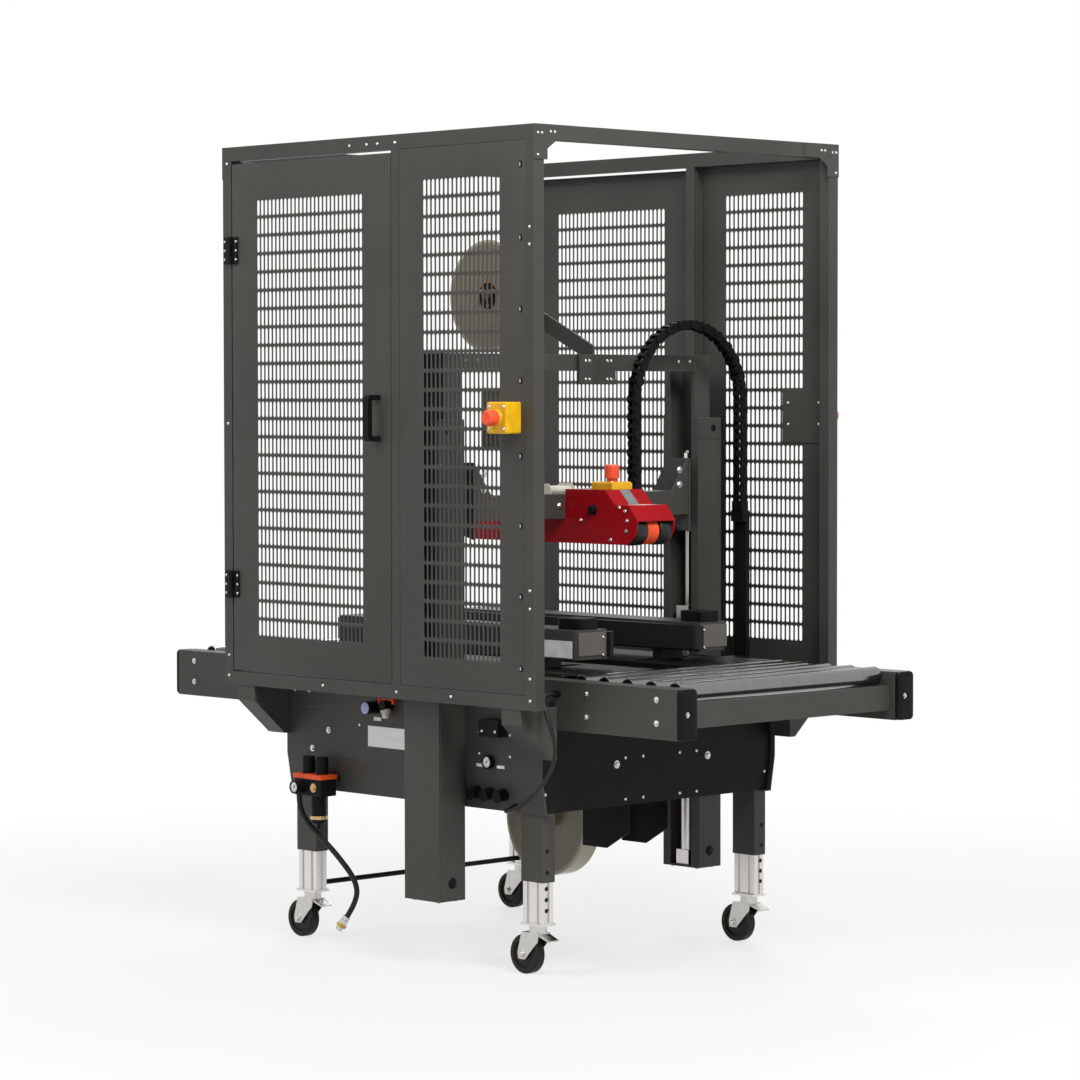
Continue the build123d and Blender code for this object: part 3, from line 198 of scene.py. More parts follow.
def brushed(name, color, roughness, stretch, depth=0.00003, contrast=0.2):
    """Metal with fine lines; stretch is small along the lines."""
    material, tree, shader = new_shader(name, color, roughness, 1.0)
    lines = noise(tree, 1.0, 3.0, stretch)
    darker = tuple((1.0 - contrast) * c for c in color)
    tree.links.new(blend_colors(tree, remap(tree, lines, 0.0, 1.0), darker, color),
                   shader.inputs["Base Color"])
    tree.links.new(remap(tree, lines, roughness - 0.35 * contrast, roughness + 0.45 * contrast),
                   shader.inputs["Roughness"])
    set_bump(tree, shader, lines, depth, 0.5, soft_edge(tree, 0.0006))
    return material


def wound_film(name, color, axis_x, axis_z):
    """Side of a wound roll: fine rings about an axis along Y, slightly see-through."""
    material, tree, shader = new_shader(name, color, 0.32)
    shader.inputs["Transmission Weight"].default_value = 0.12
    shader.inputs["Coat Weight"].default_value = 0.25
    source = tree.nodes.new("ShaderNodeTexCoord")
    shift = tree.nodes.new("ShaderNodeVectorMath")
    shift.operation = "SUBTRACT"
    shift.inputs[1].default_value = (axis_x, 0.0, axis_z)
    flat = tree.nodes.new("ShaderNodeVectorMath")
    flat.operation = "MULTIPLY"
    flat.inputs[1].default_value = (1.0, 0.0, 1.0)
    length = tree.nodes.new("ShaderNodeVectorMath")
    length.operation = "LENGTH"
    tree.links.new(source.outputs["Object"], shift.inputs[0])
    tree.links.new(shift.outputs["Vector"], flat.inputs[0])
    tree.links.new(flat.outputs["Vector"], length.inputs[0])
    rings = tree.nodes.new("ShaderNodeTexNoise")
    rings.noise_dimensions = "1D"
    rings.inputs["Scale"].default_value = 260.0
    rings.inputs["Detail"].default_value = 4.0
    tree.links.new(length.outputs["Value"], rings.inputs["W"])
    darker = tuple(0.72 * c for c in color)
    lighter = tuple(min(1.0, 1.2 * c) for c in color)
    ringed = blend_colors(tree, remap(tree, rings.outputs["Fac"], 0.0, 1.0), darker, lighter)
    rim = remap(tree, length.outputs["Value"], 0.0, 0.7, 0.139, 0.150)
    pale = (0.62, 0.60, 0.44)
    tree.links.new(blend_colors(tree, rim, ringed, pale), shader.inputs["Base Color"])
    set_bump(tree, shader, rings.outputs["Fac"], 0.0002, 0.4)
    return material


powder = coated("powder_coat", (0.051, 0.0482, 0.0422), (0.15, 0.145, 0.13), 0.46, 0.26)
# Black paint of the bed ends, its colour set darker than the paint itself: partly real black paint,
# partly painted shade from under the rails.
dark_paint = coated("dark_paint", (0.0072, 0.0069, 0.0065), (0.05, 0.048, 0.044), 0.42, 0.1)
light_paint = coated("grey_paint", (0.125, 0.118, 0.103), (0.28, 0.27, 0.25), 0.44, 0.3)
red_enamel = coated("red_enamel", (0.34, 0.004, 0.0085), (0.5, 0.05, 0.05), 0.3, 0.12,
                    900.0, 0.00002)
black_plastic = moulded("black_plastic", (0.0052, 0.0052, 0.0055), 0.42, gloss=0.1)
yellow_plastic = moulded("yellow_plastic", (0.74, 0.41, 0.008), 0.3)
stop_red = moulded("stop_red", (0.78, 0.085, 0.03), 0.3)
orange_plastic = moulded("orange_plastic", (0.72, 0.085, 0.016), 0.34)
orange_urethane = moulded("orange_urethane", (0.8, 0.08, 0.02), 0.36)
cream_plastic = moulded("cream_plastic", (0.66, 0.63, 0.55), 0.4)
tyre_rubber = moulded("tyre_rubber", (0.014, 0.0125, 0.012), 0.5, 500.0, 0.0003, 0.2)
wheel_hub = moulded("wheel_hub", (0.02, 0.0175, 0.016), 0.45, gloss=0.2)
belt_rubber = moulded("belt_rubber", (0.012, 0.012, 0.0125), 0.55, 900.0, 0.0002, 0.2)
hose_rubber = moulded("hose_rubber", (0.013, 0.0126, 0.013), 0.38, 800.0, 0.0001, 0.25)
roller_rubber = moulded("roller_rubber", (0.010, 0.010, 0.0105), 0.36)
board_brown = moulded("board_brown", (0.23, 0.12, 0.055), 0.7, 400.0, 0.0002)
valve_blue = moulded("valve_blue", (0.42, 0.47, 0.78), 0.3)
white_print = moulded("white_plate", (0.74, 0.74, 0.73), 0.35)
roller_steel = brushed("roller_steel", (0.235, 0.235, 0.24), 0.17, (3.0, 120.0, 3.0),
                       0.000004, 0.1)
zinc = brushed("zinc", (0.62, 0.605, 0.575), 0.27, (70.0, 70.0, 70.0), 0.00001, 0.1)
leg_aluminium = brushed("leg_aluminium", (0.8, 0.775, 0.755), 0.34, (700.0, 700.0, 4.0))
plate_metal = brushed("plate_metal", (0.55, 0.56, 0.57), 0.36, (6.0, 6.0, 700.0))
brass = brushed("brass", (0.62, 0.42, 0.2), 0.28, (300.0, 300.0, 300.0))
chrome = brushed("chrome", (0.72, 0.72, 0.73), 0.12, (30.0, 30.0, 500.0))

slot_materials = {
    "powder_coat": powder,
    "dark_paint": dark_paint,
    "black_plastic": black_plastic,
    "head_red": red_enamel,
    "stop_yellow": yellow_plastic,
    "stop_red": stop_red,
    "roller_steel": roller_steel,
    "zinc": zinc,
    "leg_aluminium": leg_aluminium,
    "wheel_rubber": tyre_rubber,
    "belt_rubber": belt_rubber,
    "roller_rubber": roller_rubber,
    "band_orange": orange_plastic,
    "fitting_plastic": black_plastic,
    "cable_jacket": hose_rubber,
    "chrome_rod": chrome,
    "roller_cream": cream_plastic,
    "gauge_white": white_print,
    "hose_rubber": hose_rubber,
    "coupling_metal": zinc,
}


def dress_nodes():
    """Each CAD node takes the material of its slot in the record."""
    for part in frame["record"]["subparts"]:
        material = slot_materials.get(part["material_slot"], black_plastic)
        obj = nodes[part["node"]]
        obj.data.materials.clear()
        obj.data.materials.append(material)


# Mesh helpers: a part is a list of points and a list of faces

def lathe(profile, steps=24, closed=False):
    """Surface of revolution about Z from (radius, height) pairs."""
    points = []
    rows = []
    for radius, height in profile:
        start = len(points)
        if radius == 0:
            points.append((0.0, 0.0, height))
            rows.append([start])
            continue
        for i in range(steps):
            angle = 2 * math.pi * i / steps
            points.append((radius * math.cos(angle), radius * math.sin(angle), height))
        rows.append(list(range(start, start + steps)))
    pairs = list(zip(rows, rows[1:]))
    if closed:
        pairs.append((rows[-1], rows[0]))
    faces = []
    for low, high in pairs:
        for i in range(steps):
            j = (i + 1) % steps
            ring = [low[i % len(low)], low[j % len(low)], high[j % len(high)], high[i % len(high)]]
            faces.append(list(dict.fromkeys(ring)))
    return points, faces


def prism(outline, low, high):
    """Closed prism over an outline in X and Y."""
    count = len(outline)
    points = [(x, y, low) for x, y in outline] + [(x, y, high) for x, y in outline]
    faces = [list(range(count))[::-1], list(range(count, 2 * count))]
    for i in range(count):
        j = (i + 1) % count
        faces.append([i, j, count + j, count + i])
    return points, faces


def cuboid(x, y, z):
    return prism([(x[0], y[0]), (x[1], y[0]), (x[1], y[1]), (x[0], y[1])], z[0], z[1])


def placed(part, matrix):
    points, faces = part
    return [tuple(matrix @ Vector(point)) for point in points], faces


def facing(direction, place):
    """Matrix that turns +Z to a direction and moves the origin to a place."""
    turn = Vector(direction).to_track_quat("Z", "Y").to_matrix().to_4x4()
    return Matrix.Translation(place) @ turn


def joined(parts):
    points = []
    faces = []
    for part_points, part_faces in parts:
        start = len(points)
        points.extend(part_points)
        faces.extend([[start + i for i in face] for face in part_faces])
    return points, faces


smooth_below = math.radians(35)


def finish_mesh(mesh):
    """Outward normals, smooth faces and sharp edges by angle."""
    build = bmesh.new()
    build.from_mesh(mesh)
    bmesh.ops.recalc_face_normals(build, faces=build.faces)
    for face in build.faces:
        face.smooth = True
    for edge in build.edges:
        edge.smooth = edge.is_manifold and edge.calc_face_angle(0.0) < smooth_below
    build.to_mesh(mesh)
    build.free()


def piece(name, parts, body, material, bevel=0.0, replaces=()):
    """One object of the scene, riding on a body of the machine."""
    points, faces = joined(parts)
    mesh = bpy.data.meshes.new(name)
    mesh.from_pydata(points, [], faces)
    finish_mesh(mesh)
    mesh.materials.append(material)
    obj = bpy.data.objects.new(name, mesh)
    scene.collection.objects.link(obj)
    if bevel:
        modifier = obj.modifiers.new("bevel", "BEVEL")
        modifier.width = bevel
        modifier.segments = 2
        modifier.limit_method = "ANGLE"
        modifier.angle_limit = math.radians(40)
    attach(obj, body)
    if replaces:
        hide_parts(*replaces)
    return obj


def mirrored_y(places):
    return list(places) + [(x, -y, z) for x, y, z in places]


def mirrored_x(places):
    return list(places) + [(-x, y, z) for x, y, z in places]


# Fasteners

def socket_screw(radius):
    height = 0.9 * radius
    return lathe([(0.0, 0.5 * height), (0.5 * radius, 0.5 * height), (0.52 * radius, height),
                  (0.9 * radius, height), (radius, 0.88 * height), (radius, 0.0)], 14)


def dome_screw(radius):
    height = 0.55 * radius
    return lathe([(0.0, 0.6 * height), (0.35 * radius, 0.6 * height), (0.4 * radius, height),
                  (0.7 * radius, 0.86 * height), (0.93 * radius, 0.45 * height), (radius, 0.0)], 14)


def hex_bolt(radius):
    """Washer under a six-sided head with a chamfered top."""
    washer = lathe([(0.0, 0.22 * radius), (1.55 * radius, 0.22 * radius), (1.55 * radius, 0.0)], 20)
    head = lathe([(0.0, 0.95 * radius), (0.8 * radius, 0.95 * radius),
                  (radius, 0.82 * radius), (radius, 0.2 * radius)], 6)
    return joined([washer, head])


def fasteners(name, body, head, direction_places, material=zinc):
    """Heads of one kind at many places, each with the direction that it faces."""
    parts = [placed(head, facing(direction, place)) for direction, place in direction_places]
    return piece(name, parts, body, material)


near_side = (0, -1, 0)
far_side = (0, 1, 0)
exit_end = (1, 0, 0)
infeed_end = (-1, 0, 0)
upward = (0, 0, 1)


def on_both_sides(places):
    """Heads that face away from the machine on its near and far side."""
    found = [(near_side, (x, y, z)) for x, y, z in places]
    return found + [(far_side, (x, -y, z)) for x, y, z in places]


def at_both_ends(places):
    found = [(exit_end, (x, y, z)) for x, y, z in places]
    return found + [(infeed_end, (-x, y, z)) for x, y, z in places]


# Guard: slotted sheets

slot_half_width = 0.0058
slot_half_height = 0.0211
slot_arc_steps = 6
sheet_thickness = 0.002
sheet_bend = 0.003


def slot_outline(centre_x, centre_z):
    """Obround outline: top arc from right to left, then the bottom arc."""
    straight = slot_half_height - slot_half_width
    points = []
    for lift, start in ((straight, 0.0), (-straight, math.pi)):
        for i in range(slot_arc_steps + 1):
            angle = start + math.pi * i / slot_arc_steps
            points.append((centre_x + slot_half_width * math.cos(angle),
                           centre_z + lift + slot_half_width * math.sin(angle)))
    return points


def slotted_surface(build, place, low, high, window_x, window_z, columns, rows):
    """Front of a sheet as one surface with a grid of slots and a plain margin; returns its four
    corners.
    """
    pitch_x = (window_x[1] - window_x[0]) / columns
    pitch_z = (window_z[1] - window_z[0]) / rows
    grid = {}
    for i in range(columns + 1):
        for j in range(rows + 1):
            grid[i, j] = build.verts.new(place(window_x[0] + i * pitch_x,
                                               window_z[0] + j * pitch_z, 0.0))
    half = slot_arc_steps // 2
    for i in range(columns):
        for j in range(rows):
            outline = slot_outline(window_x[0] + (i + 0.5) * pitch_x,
                                   window_z[0] + (j + 0.5) * pitch_z)
            rim = [build.verts.new(place(x, z, 0.0)) for x, z in outline]
            top = rim[:slot_arc_steps + 1]
            bottom = rim[slot_arc_steps + 1:]
            for arc, first, second in ((top, grid[i + 1, j + 1], grid[i, j + 1]),
                                       (bottom, grid[i, j], grid[i + 1, j])):
                for k in range(slot_arc_steps):
                    corner = first if k < half else second
                    build.faces.new((corner, arc[k + 1], arc[k]))
                build.faces.new((first, second, arc[half]))
            build.faces.new((grid[i, j + 1], grid[i, j], bottom[0], top[-1]))
            build.faces.new((grid[i + 1, j], grid[i + 1, j + 1], top[0], bottom[-1]))
    corners = [build.verts.new(place(x, z, 0.0)) for x, z in
               ((low[0], low[1]), (high[0], low[1]), (high[0], high[1]), (low[0], high[1]))]
    bottom_edge = [grid[i, 0] for i in range(columns + 1)]
    top_edge = [grid[i, rows] for i in range(columns + 1)]
    left_edge = [grid[0, j] for j in range(rows + 1)]
    right_edge = [grid[columns, j] for j in range(rows + 1)]
    build.faces.new([corners[0], corners[1]] + bottom_edge[::-1])
    build.faces.new([corners[1], corners[2]] + right_edge[::-1])
    build.faces.new([corners[2], corners[3]] + top_edge)
    build.faces.new([corners[3], corners[0]] + left_edge)
    return corners


def slotted_panel(name, body, outer_y, low, high, window_x, window_z, columns, rows, depth, node):
    """Sheet-metal pan; its front lies at outer_y and its edges turn towards the middle."""
    inward = -1.0 if outer_y > 0 else 1.0

    def place(x, z, back):
        return (x, outer_y + inward * back, z)

    build = bmesh.new()
    corners = slotted_surface(build, place, low, high, window_x, window_z, columns, rows)
    back = []
    for x, z in ((low[0], low[1]), (high[0], low[1]), (high[0], high[1]), (low[0], high[1])):
        back.append(build.verts.new(place(x, z, depth)))
    folds = []
    for i in range(4):
        j = (i + 1) % 4
        build.faces.new((corners[i], corners[j], back[j], back[i]))
        folds.append((corners[i], corners[j]))
    bmesh.ops.recalc_face_normals(build, faces=build.faces)
    front = next(face for face in build.faces if abs(face.normal.y) > 0.9)
    if front.normal.y * inward > 0:
        bmesh.ops.reverse_faces(build, faces=build.faces)
    edges = [build.edges.get(pair) for pair in folds]
    bmesh.ops.bevel(build, geom=edges, offset=sheet_bend, segments=3, affect="EDGES", profile=0.5)
    for face in build.faces:
        face.smooth = True
    for edge in build.edges:
        edge.smooth = edge.is_manifold and edge.calc_face_angle(0.0) < smooth_below
    mesh = bpy.data.meshes.new(name)
    build.to_mesh(mesh)
    build.free()
    mesh.materials.append(powder)
    obj = bpy.data.objects.new(name, mesh)
    scene.collection.objects.link(obj)
    solidify = obj.modifiers.new("thickness", "SOLIDIFY")
    solidify.thickness = sheet_thickness
    solidify.offset = -1.0
    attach(obj, body)
    if node:
        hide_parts(node)
    return obj


door_columns = 27
door_rows = 24
panel_columns = 18
panel_rows = 25
door_window_x = (-0.4665, -0.0345)
door_window_z = (0.8275, 2.0011)
panel_window_x = (0.197, 0.486)
panel_window_z = (0.8045, 2.027)


def guard_panels():
    for side, sign in (("near", -1), ("far", 1)):
        low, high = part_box(side + "_door")
        outer_y = low.y if sign < 0 else high.y
        slotted_panel(side + "_door_sheet", side + "_door", outer_y, (low.x, low.z),
                      (high.x, high.z), door_window_x, door_window_z, door_columns, door_rows,
                      high.y - low.y, side + "_door")
        panel_low, panel_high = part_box("fixed_panels")
        slotted_panel(side + "_panel_sheet", "machine", outer_y, (panel_low.x, panel_low.z),
                      (panel_high.x, panel_high.z), panel_window_x, panel_window_z,
                      panel_columns, panel_rows, high.y - low.y, "fixed_panels")


stop_plate_low_x = 0.413
stop_plate_high_x = 0.570
stop_plate_low_z = 1.346
stop_plate_high_z = 1.494


def stop_plates():
    """Plates behind the fixed panels that carry the stop boxes."""
    parts = []
    inner = abs(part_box("fixed_panels")[0].y) - sheet_thickness - 0.0003
    for sign in (-1, 1):
        y = sorted((sign * inner, sign * (inner - 0.003)))
        parts.append(cuboid((stop_plate_low_x, stop_plate_high_x), y,
                            (stop_plate_low_z, stop_plate_high_z)))
    piece("stop_plates", parts, "machine", powder, 0.0006)
    places = []
    for x in (0.434, 0.545):
        for z in (1.396, 1.454):
            for sign in (-1, 1):
                places.append(((0, -sign, 0), (x, sign * (inner - 0.003), z)))
    fasteners("stop_plate_screws", "machine", dome_screw(0.0045), places)


def guard_details():
    face_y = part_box("near_frame")[0].y
    rail_screws = [(x, face_y, 2.123) for x in (-0.086, -0.018, 0.024, 0.092)]
    rail_screws += [(x, face_y, 0.712) for x in (-0.2, 0.092, 0.3)]
    post_screws = [(0.591, face_y, z) for z in (1.891, 1.848, 0.992, 0.947, 0.773, 0.718)]
    post_screws += [(-0.591, face_y, z) for z in (2.1, 1.4, 0.773, 0.718)]
    fasteners("frame_screws", "machine", dome_screw(0.0042), on_both_sides(rail_screws + post_screws))
    plate_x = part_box("top_beams")[1].x
    plate_places = []
    for y, z in ((-0.552, 2.122), (-0.538, 2.122), (-0.552, 2.068), (-0.508, 2.126), (-0.494, 2.126)):
        plate_places += [(plate_x, y, z), (plate_x, -y, z)]
    fasteners("corner_plate_screws", "machine", dome_screw(0.004), at_both_ends(plate_places))
    catches = []
    recess_shade_sheets = []
    for z in (2.046, 1.866, 1.689, 1.512, 1.325, 1.152, 0.976, 0.797):
        for sign in (-1, 1):
            y = sign * abs(face_y)
            # Each recess behind a catch is a thin black sheet on the post face: painted shade for the
            # hollow.
            recess_shade_sheets.append(cuboid((0.5555, 0.5655), sorted((y, y + sign * 0.0006)),
                                   (z - 0.008, z + 0.008)))
            catches.append(cuboid((0.5575, 0.5605), sorted((y, y + sign * 0.0022)),
                                  (z - 0.005, z + 0.004)))
    piece("catch_recess_shade", recess_shade_sheets, "machine", black_plastic)
    piece("catch_springs", catches, "machine", zinc, 0.0004)


def hinge_screws():
    for side, sign in (("near", -1), ("far", 1)):
        outer_y = sign * (abs(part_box("near_frame")[0].y) + 0.0045)
        for body, x in ((side + "_door", -0.549), ("machine", -0.596)):
            places = []
            for centre in (0.966, 1.866):
                for offset in (-0.024, 0.0, 0.024):
                    places.append(((0, sign, 0), (x, outer_y, centre + offset)))
            fasteners(side + "_" + body + "_hinge_screws", body, dome_screw(0.0038), places,
                      plate_metal)


# Emergency stops

def stop_details():
    """Screws of the yellow boxes and the moulded ring under each button."""
    low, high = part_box("stop_boxes")
    places = []
    rings = []
    for x in (low.x + 0.012, high.x - 0.012):
        for z in (low.z + 0.012, high.z - 0.012):
            places += on_both_sides([(x, low.y, z)])
    fasteners("stop_box_screws", "machine", dome_screw(0.0042), places)
    centre = (0.5 * (low.x + high.x), low.y, 0.5 * (low.z + high.z))
    ring = lathe([(0.0145, 0.0), (0.0145, 0.006), (0.019, 0.004), (0.021, 0.0)], 32)
    for direction, place in on_both_sides([centre]):
        rings.append(placed(ring, facing(direction, place)))
    piece("stop_rings", rings, "machine", yellow_plastic)
    head_low, head_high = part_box("head_stop_box")
    places = []
    for x in (head_low.x + 0.012, head_high.x - 0.012):
        for y in (head_low.y + 0.012, head_high.y - 0.012):
            places.append((upward, (x, y, head_high.z)))
    fasteners("head_stop_screws", "lifting_head", dome_screw(0.004), places)


# Bed

def bed_details():
    rail_low, rail_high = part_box("side_rails")
    rail_places = []
    for x in (0.660, 0.904):
        for z in (0.675, 0.733):
            rail_places += mirrored_x([(x, rail_low.y, z)])
    fasteners("rail_bolts", "machine", hex_bolt(0.0052), on_both_sides(rail_places))
    side_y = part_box("bed_sides")[0].y
    small = [(0.268, side_y, 0.612), (0.383, side_y, 0.612), (0.268, side_y, 0.557),
             (0.383, side_y, 0.556), (0.409, side_y, 0.62), (-0.2, side_y, 0.6)]
    fasteners("bed_side_screws", "machine", dome_screw(0.0046), on_both_sides(small))
    large = [(-0.326, side_y, 0.577), (-0.393, side_y, 0.524), (0.46, side_y, 0.6)]
    fasteners("bed_side_bolts", "machine", hex_bolt(0.0058), on_both_sides(large))
    end_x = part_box("bed_ends")[1].x
    small = []
    for y in (-0.121, -0.056, 0.081, 0.145):
        for z in (0.432, 0.539):
            small.append((end_x, y, z))
    small += [(end_x, -0.409, 0.465), (end_x, 0.409, 0.465)]
    fasteners("bed_end_screws", "machine", dome_screw(0.0046), at_both_ends(small))
    large = [(end_x, -0.154, 0.524), (end_x, 0.186, 0.524)]
    fasteners("bed_end_bolts", "machine", hex_bolt(0.0068), at_both_ends(large))
    fasteners("bracket_bolts", "machine", hex_bolt(0.0055),
              on_both_sides(mirrored_x([(0.467, side_y, 0.68), (0.409, side_y, 0.68)])))


cap_thickness = 0.012
cap_width = 0.060
cap_corner = 0.012
cap_edge = 0.002
cap_bore_radius = 0.0095
cap_bore_depth = 0.005
cap_arc_steps = 6
cap_side_step = 0.004


def cap_ring(half_width, half_height, corner):
    """Points around a rounded rectangle, with more of them along its sides."""
    corners = []
    for quarter, (side, level) in enumerate(((1, 1), (-1, 1), (-1, -1), (1, -1))):
        for i in range(cap_arc_steps + 1):
            angle = math.radians(90 * (quarter + i / cap_arc_steps))
            corners.append((side * (half_width - corner) + corner * math.cos(angle),
                            level * (half_height - corner) + corner * math.sin(angle)))
    points = []
    for start, end in zip(corners, corners[1:] + corners[:1]):
        steps = max(1, round(math.dist(start, end) / cap_side_step))
        for i in range(steps):
            share = i / steps
            points.append((start[0] + share * (end[0] - start[0]),
                           start[1] + share * (end[1] - start[1])))
    return points


def rail_cap(half_height):
    """Moulded cap with a rounded front edge and a counterbore, from its back along Z."""
    half_width = 0.5 * cap_width
    rings = [(cap_ring(half_width, half_height, cap_corner), 0.0)]
    for turn in (0, 30, 60, 90):
        inset = cap_edge * (1 - math.cos(math.radians(turn)))
        rise = cap_edge * math.sin(math.radians(turn))
        rings.append((cap_ring(half_width - inset, half_height - inset, cap_corner - inset),
                      cap_thickness - cap_edge + rise))
    bore = [Vector(point).normalized() * cap_bore_radius for point in rings[0][0]]
    rings += [(bore, cap_thickness), (bore, cap_thickness - cap_bore_depth)]
    count = len(bore)
    points = [(across, up, height) for ring, height in rings for across, up in ring]
    faces = [list(range(count))[::-1], list(range(len(points) - count, len(points)))]
    for row in range(len(rings) - 1):
        for i in range(count):
            j = (i + 1) % count
            faces.append([row * count + i, row * count + j,
                          (row + 1) * count + j, (row + 1) * count + i])
    return points, faces


def rail_caps():
    """Caps on the ends of both rails, each with a bolt let into it."""
    low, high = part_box("rail_end_caps")
    middle_y = high.y - 0.5 * cap_width
    middle_z = 0.5 * (low.z + high.z)
    cap = rail_cap(0.5 * (high.z - low.z))
    caps = []
    bolts = []
    for end in (-1, 1):
        turn = Matrix(((0, 0, end, 0), (1, 0, 0, 0), (0, 1, 0, 0), (0, 0, 0, 1)))
        for side in (-1, 1):
            back = (end * (high.x - cap_thickness), side * middle_y, middle_z)
            caps.append(placed(cap, Matrix.Translation(back) @ turn))
            bolts.append(((end, 0, 0), (end * (high.x - cap_bore_depth), side * middle_y, middle_z)))
    piece("rail_cap_mouldings", caps, "machine", black_plastic, 0.0,
          ("rail_end_caps",))
    fasteners("cap_bolts", "machine", hex_bolt(0.005), bolts)


roller_radius = 0.025
roller_pitch = 0.082
rollers_per_end = 5
roller_shell_wall = 0.0025
roller_end_gap = 0.003


def conveyor_rollers():
    """Polished tubes with pressed-in end bearings on their axles."""
    shell_bore = roller_radius - roller_shell_wall
    for end in ("exit", "infeed"):
        low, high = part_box(end + "_rollers")
        half = high.y - roller_end_gap
        tube = [(shell_bore, -half), (roller_radius - 0.0012, -half), (roller_radius, -half + 0.0012),
                (roller_radius, half - 0.0012), (roller_radius - 0.0012, half), (shell_bore, half)]
        bearing = [(0.0065, half - 0.012), (shell_bore - 0.0002, half - 0.012),
                   (shell_bore - 0.0002, half - 0.001), (0.017, half - 0.001), (0.015, half - 0.003),
                   (0.009, half - 0.003), (0.008, half + 0.0005), (0.0065, half + 0.0005)]
        axle = [(0.0, -high.y), (0.006, -high.y), (0.006, high.y), (0.0, high.y)]
        tubes = []
        bearings = []
        axles = []
        for i in range(rollers_per_end):
            place = (low.x + roller_radius + i * roller_pitch, 0.0, 0.5 * (low.z + high.z))
            tubes.append(placed(lathe(tube, 64, True), facing(far_side, place)))
            axles.append(placed(lathe(axle, 20), facing(far_side, place)))
            for side in (far_side, near_side):
                bearings.append(placed(lathe(bearing, 32, True), facing(side, place)))
        node = (end + "_rollers",)
        piece(end + "_roller_tubes", tubes, "machine", roller_steel, 0.0, node)
        piece(end + "_roller_bearings", bearings, "machine", black_plastic, 0.0,
              node)
        piece(end + "_roller_axles", axles, "machine", zinc, 0.0, node)


def leg_details():
    """Adjusting holes in the sleeves and legs, drawn as thin black discs raised on the surface:
    painted shade standing in for the dark insides of the holes.
    """
    # The black discs are painted shade in place of the holes' dark insides, not plugs.
    hole_shade_disc = lathe([(0.0, 0.0004), (0.0042, 0.0004), (0.0052, 0.0009), (0.0058, 0.0)], 16)
    sleeve_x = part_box("leg_sleeves")[1].x
    sleeve_places = [(sleeve_x, -0.4, 0.32), (sleeve_x, -0.4, 0.266)]
    leg_places = [(sleeve_x - 0.0033, -0.4, z) for z in (0.224, 0.196, 0.168)]
    places = mirrored_y(sleeve_places + leg_places)
    fasteners("leg_hole_painted_shade", "machine", hole_shade_disc, at_both_ends(places), black_plastic)


# Columns and crossbeam

column_seam_z = (1.351, 1.355)


def column_details():
    """Cheek plates, end blocks, plugs and foot bolts of the two columns."""
    low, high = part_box("columns")
    outer_y = high.y
    inner_y = 0.435
    top_z = 1.414
    cheeks = []
    blocks = []
    for sign in (-1, 1):
        y = sorted((sign * (inner_y + 0.004), sign * (outer_y - 0.004)))
        for x in ((high.x, high.x + 0.0015), (low.x - 0.0015, low.x)):
            cheeks.append(cuboid(x, y, (low.z + 0.004, column_seam_z[0])))
            blocks.append(cuboid(x, y, (column_seam_z[1], top_z - 0.002)))
    piece("column_cheeks", cheeks, "machine", powder, 0.0004)
    piece("column_end_blocks", blocks, "machine", powder, 0.0004)
    plug = lathe([(0.0, 0.0022), (0.011, 0.0022), (0.0135, 0.0012), (0.0145, 0.0)], 28)
    # The holes in the end blocks are drawn as thin black discs: painted shade for their dark insides.
    hole_shade_disc = lathe([(0.0, 0.0003), (0.0075, 0.0003), (0.0092, 0.0012), (0.010, 0.0)], 24)
    for name, head, y, z in (("column_plugs", plug, 0.4805, 0.22),
                             ("column_block_hole_shade", hole_shade_disc, 0.494, 1.385)):
        places = []
        for sign in (-1, 1):
            places.append((exit_end, (high.x + 0.0015, sign * y, z)))
            places.append((infeed_end, (low.x - 0.0015, sign * y, z)))
        fasteners(name, "machine", head, places, black_plastic)
    beam_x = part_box("column_crossbeam")[1].x
    plate_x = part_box("roll_bracket")[1].x
    places = [(beam_x, y, 1.567) for y in (-0.417, -0.373, 0.373, 0.417)]
    places += [(plate_x, y, 1.567) for y in (0.006, 0.020, 0.087, 0.101)]
    places += [(plate_x, y, 1.518) for y in (0.006, 0.020, 0.087, 0.101)]
    fasteners("crossbeam_bolts", "machine", dome_screw(0.0048),
              [(exit_end, place) for place in places])
    feet = []
    for x in (low.x + 0.02, high.x - 0.02):
        for y in (-0.51, -0.452):
            feet += mirrored_y([(x, y, low.z)])
    fasteners("column_foot_bolts", "machine", hex_bolt(0.005), [((0, 0, -1), place) for place in feet])


# Red taping head

def head_details():
    low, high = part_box("head_housing")
    plate_places = [(0.270, 1.147), (0.412, 1.183), (0.433, 1.174), (0.440, 1.149), (0.380, 1.098),
                    (0.05, 1.11), (-0.1, 1.12)]
    places = []
    for x, z in plate_places:
        places += on_both_sides([(x, low.y, z)])
    fasteners("head_screws", "lifting_head", dome_screw(0.0052), places)
    knob = lathe([(0.0, 0.012), (0.009, 0.012), (0.0115, 0.010), (0.0115, 0.002), (0.014, 0.0)], 24)
    fasteners("head_knobs", "lifting_head", knob, on_both_sides([(0.316, low.y, 1.175)]),
              black_plastic)
    bolts = [(exit_end, (0.211, sign * 0.09, 1.185)) for sign in (-1, 1)]
    bolts += [(exit_end, (0.211, sign * 0.365, z)) for sign in (-1, 1) for z in (1.232, 1.272)]
    fasteners("carriage_bolts", "lifting_head", hex_bolt(0.0065), bolts)


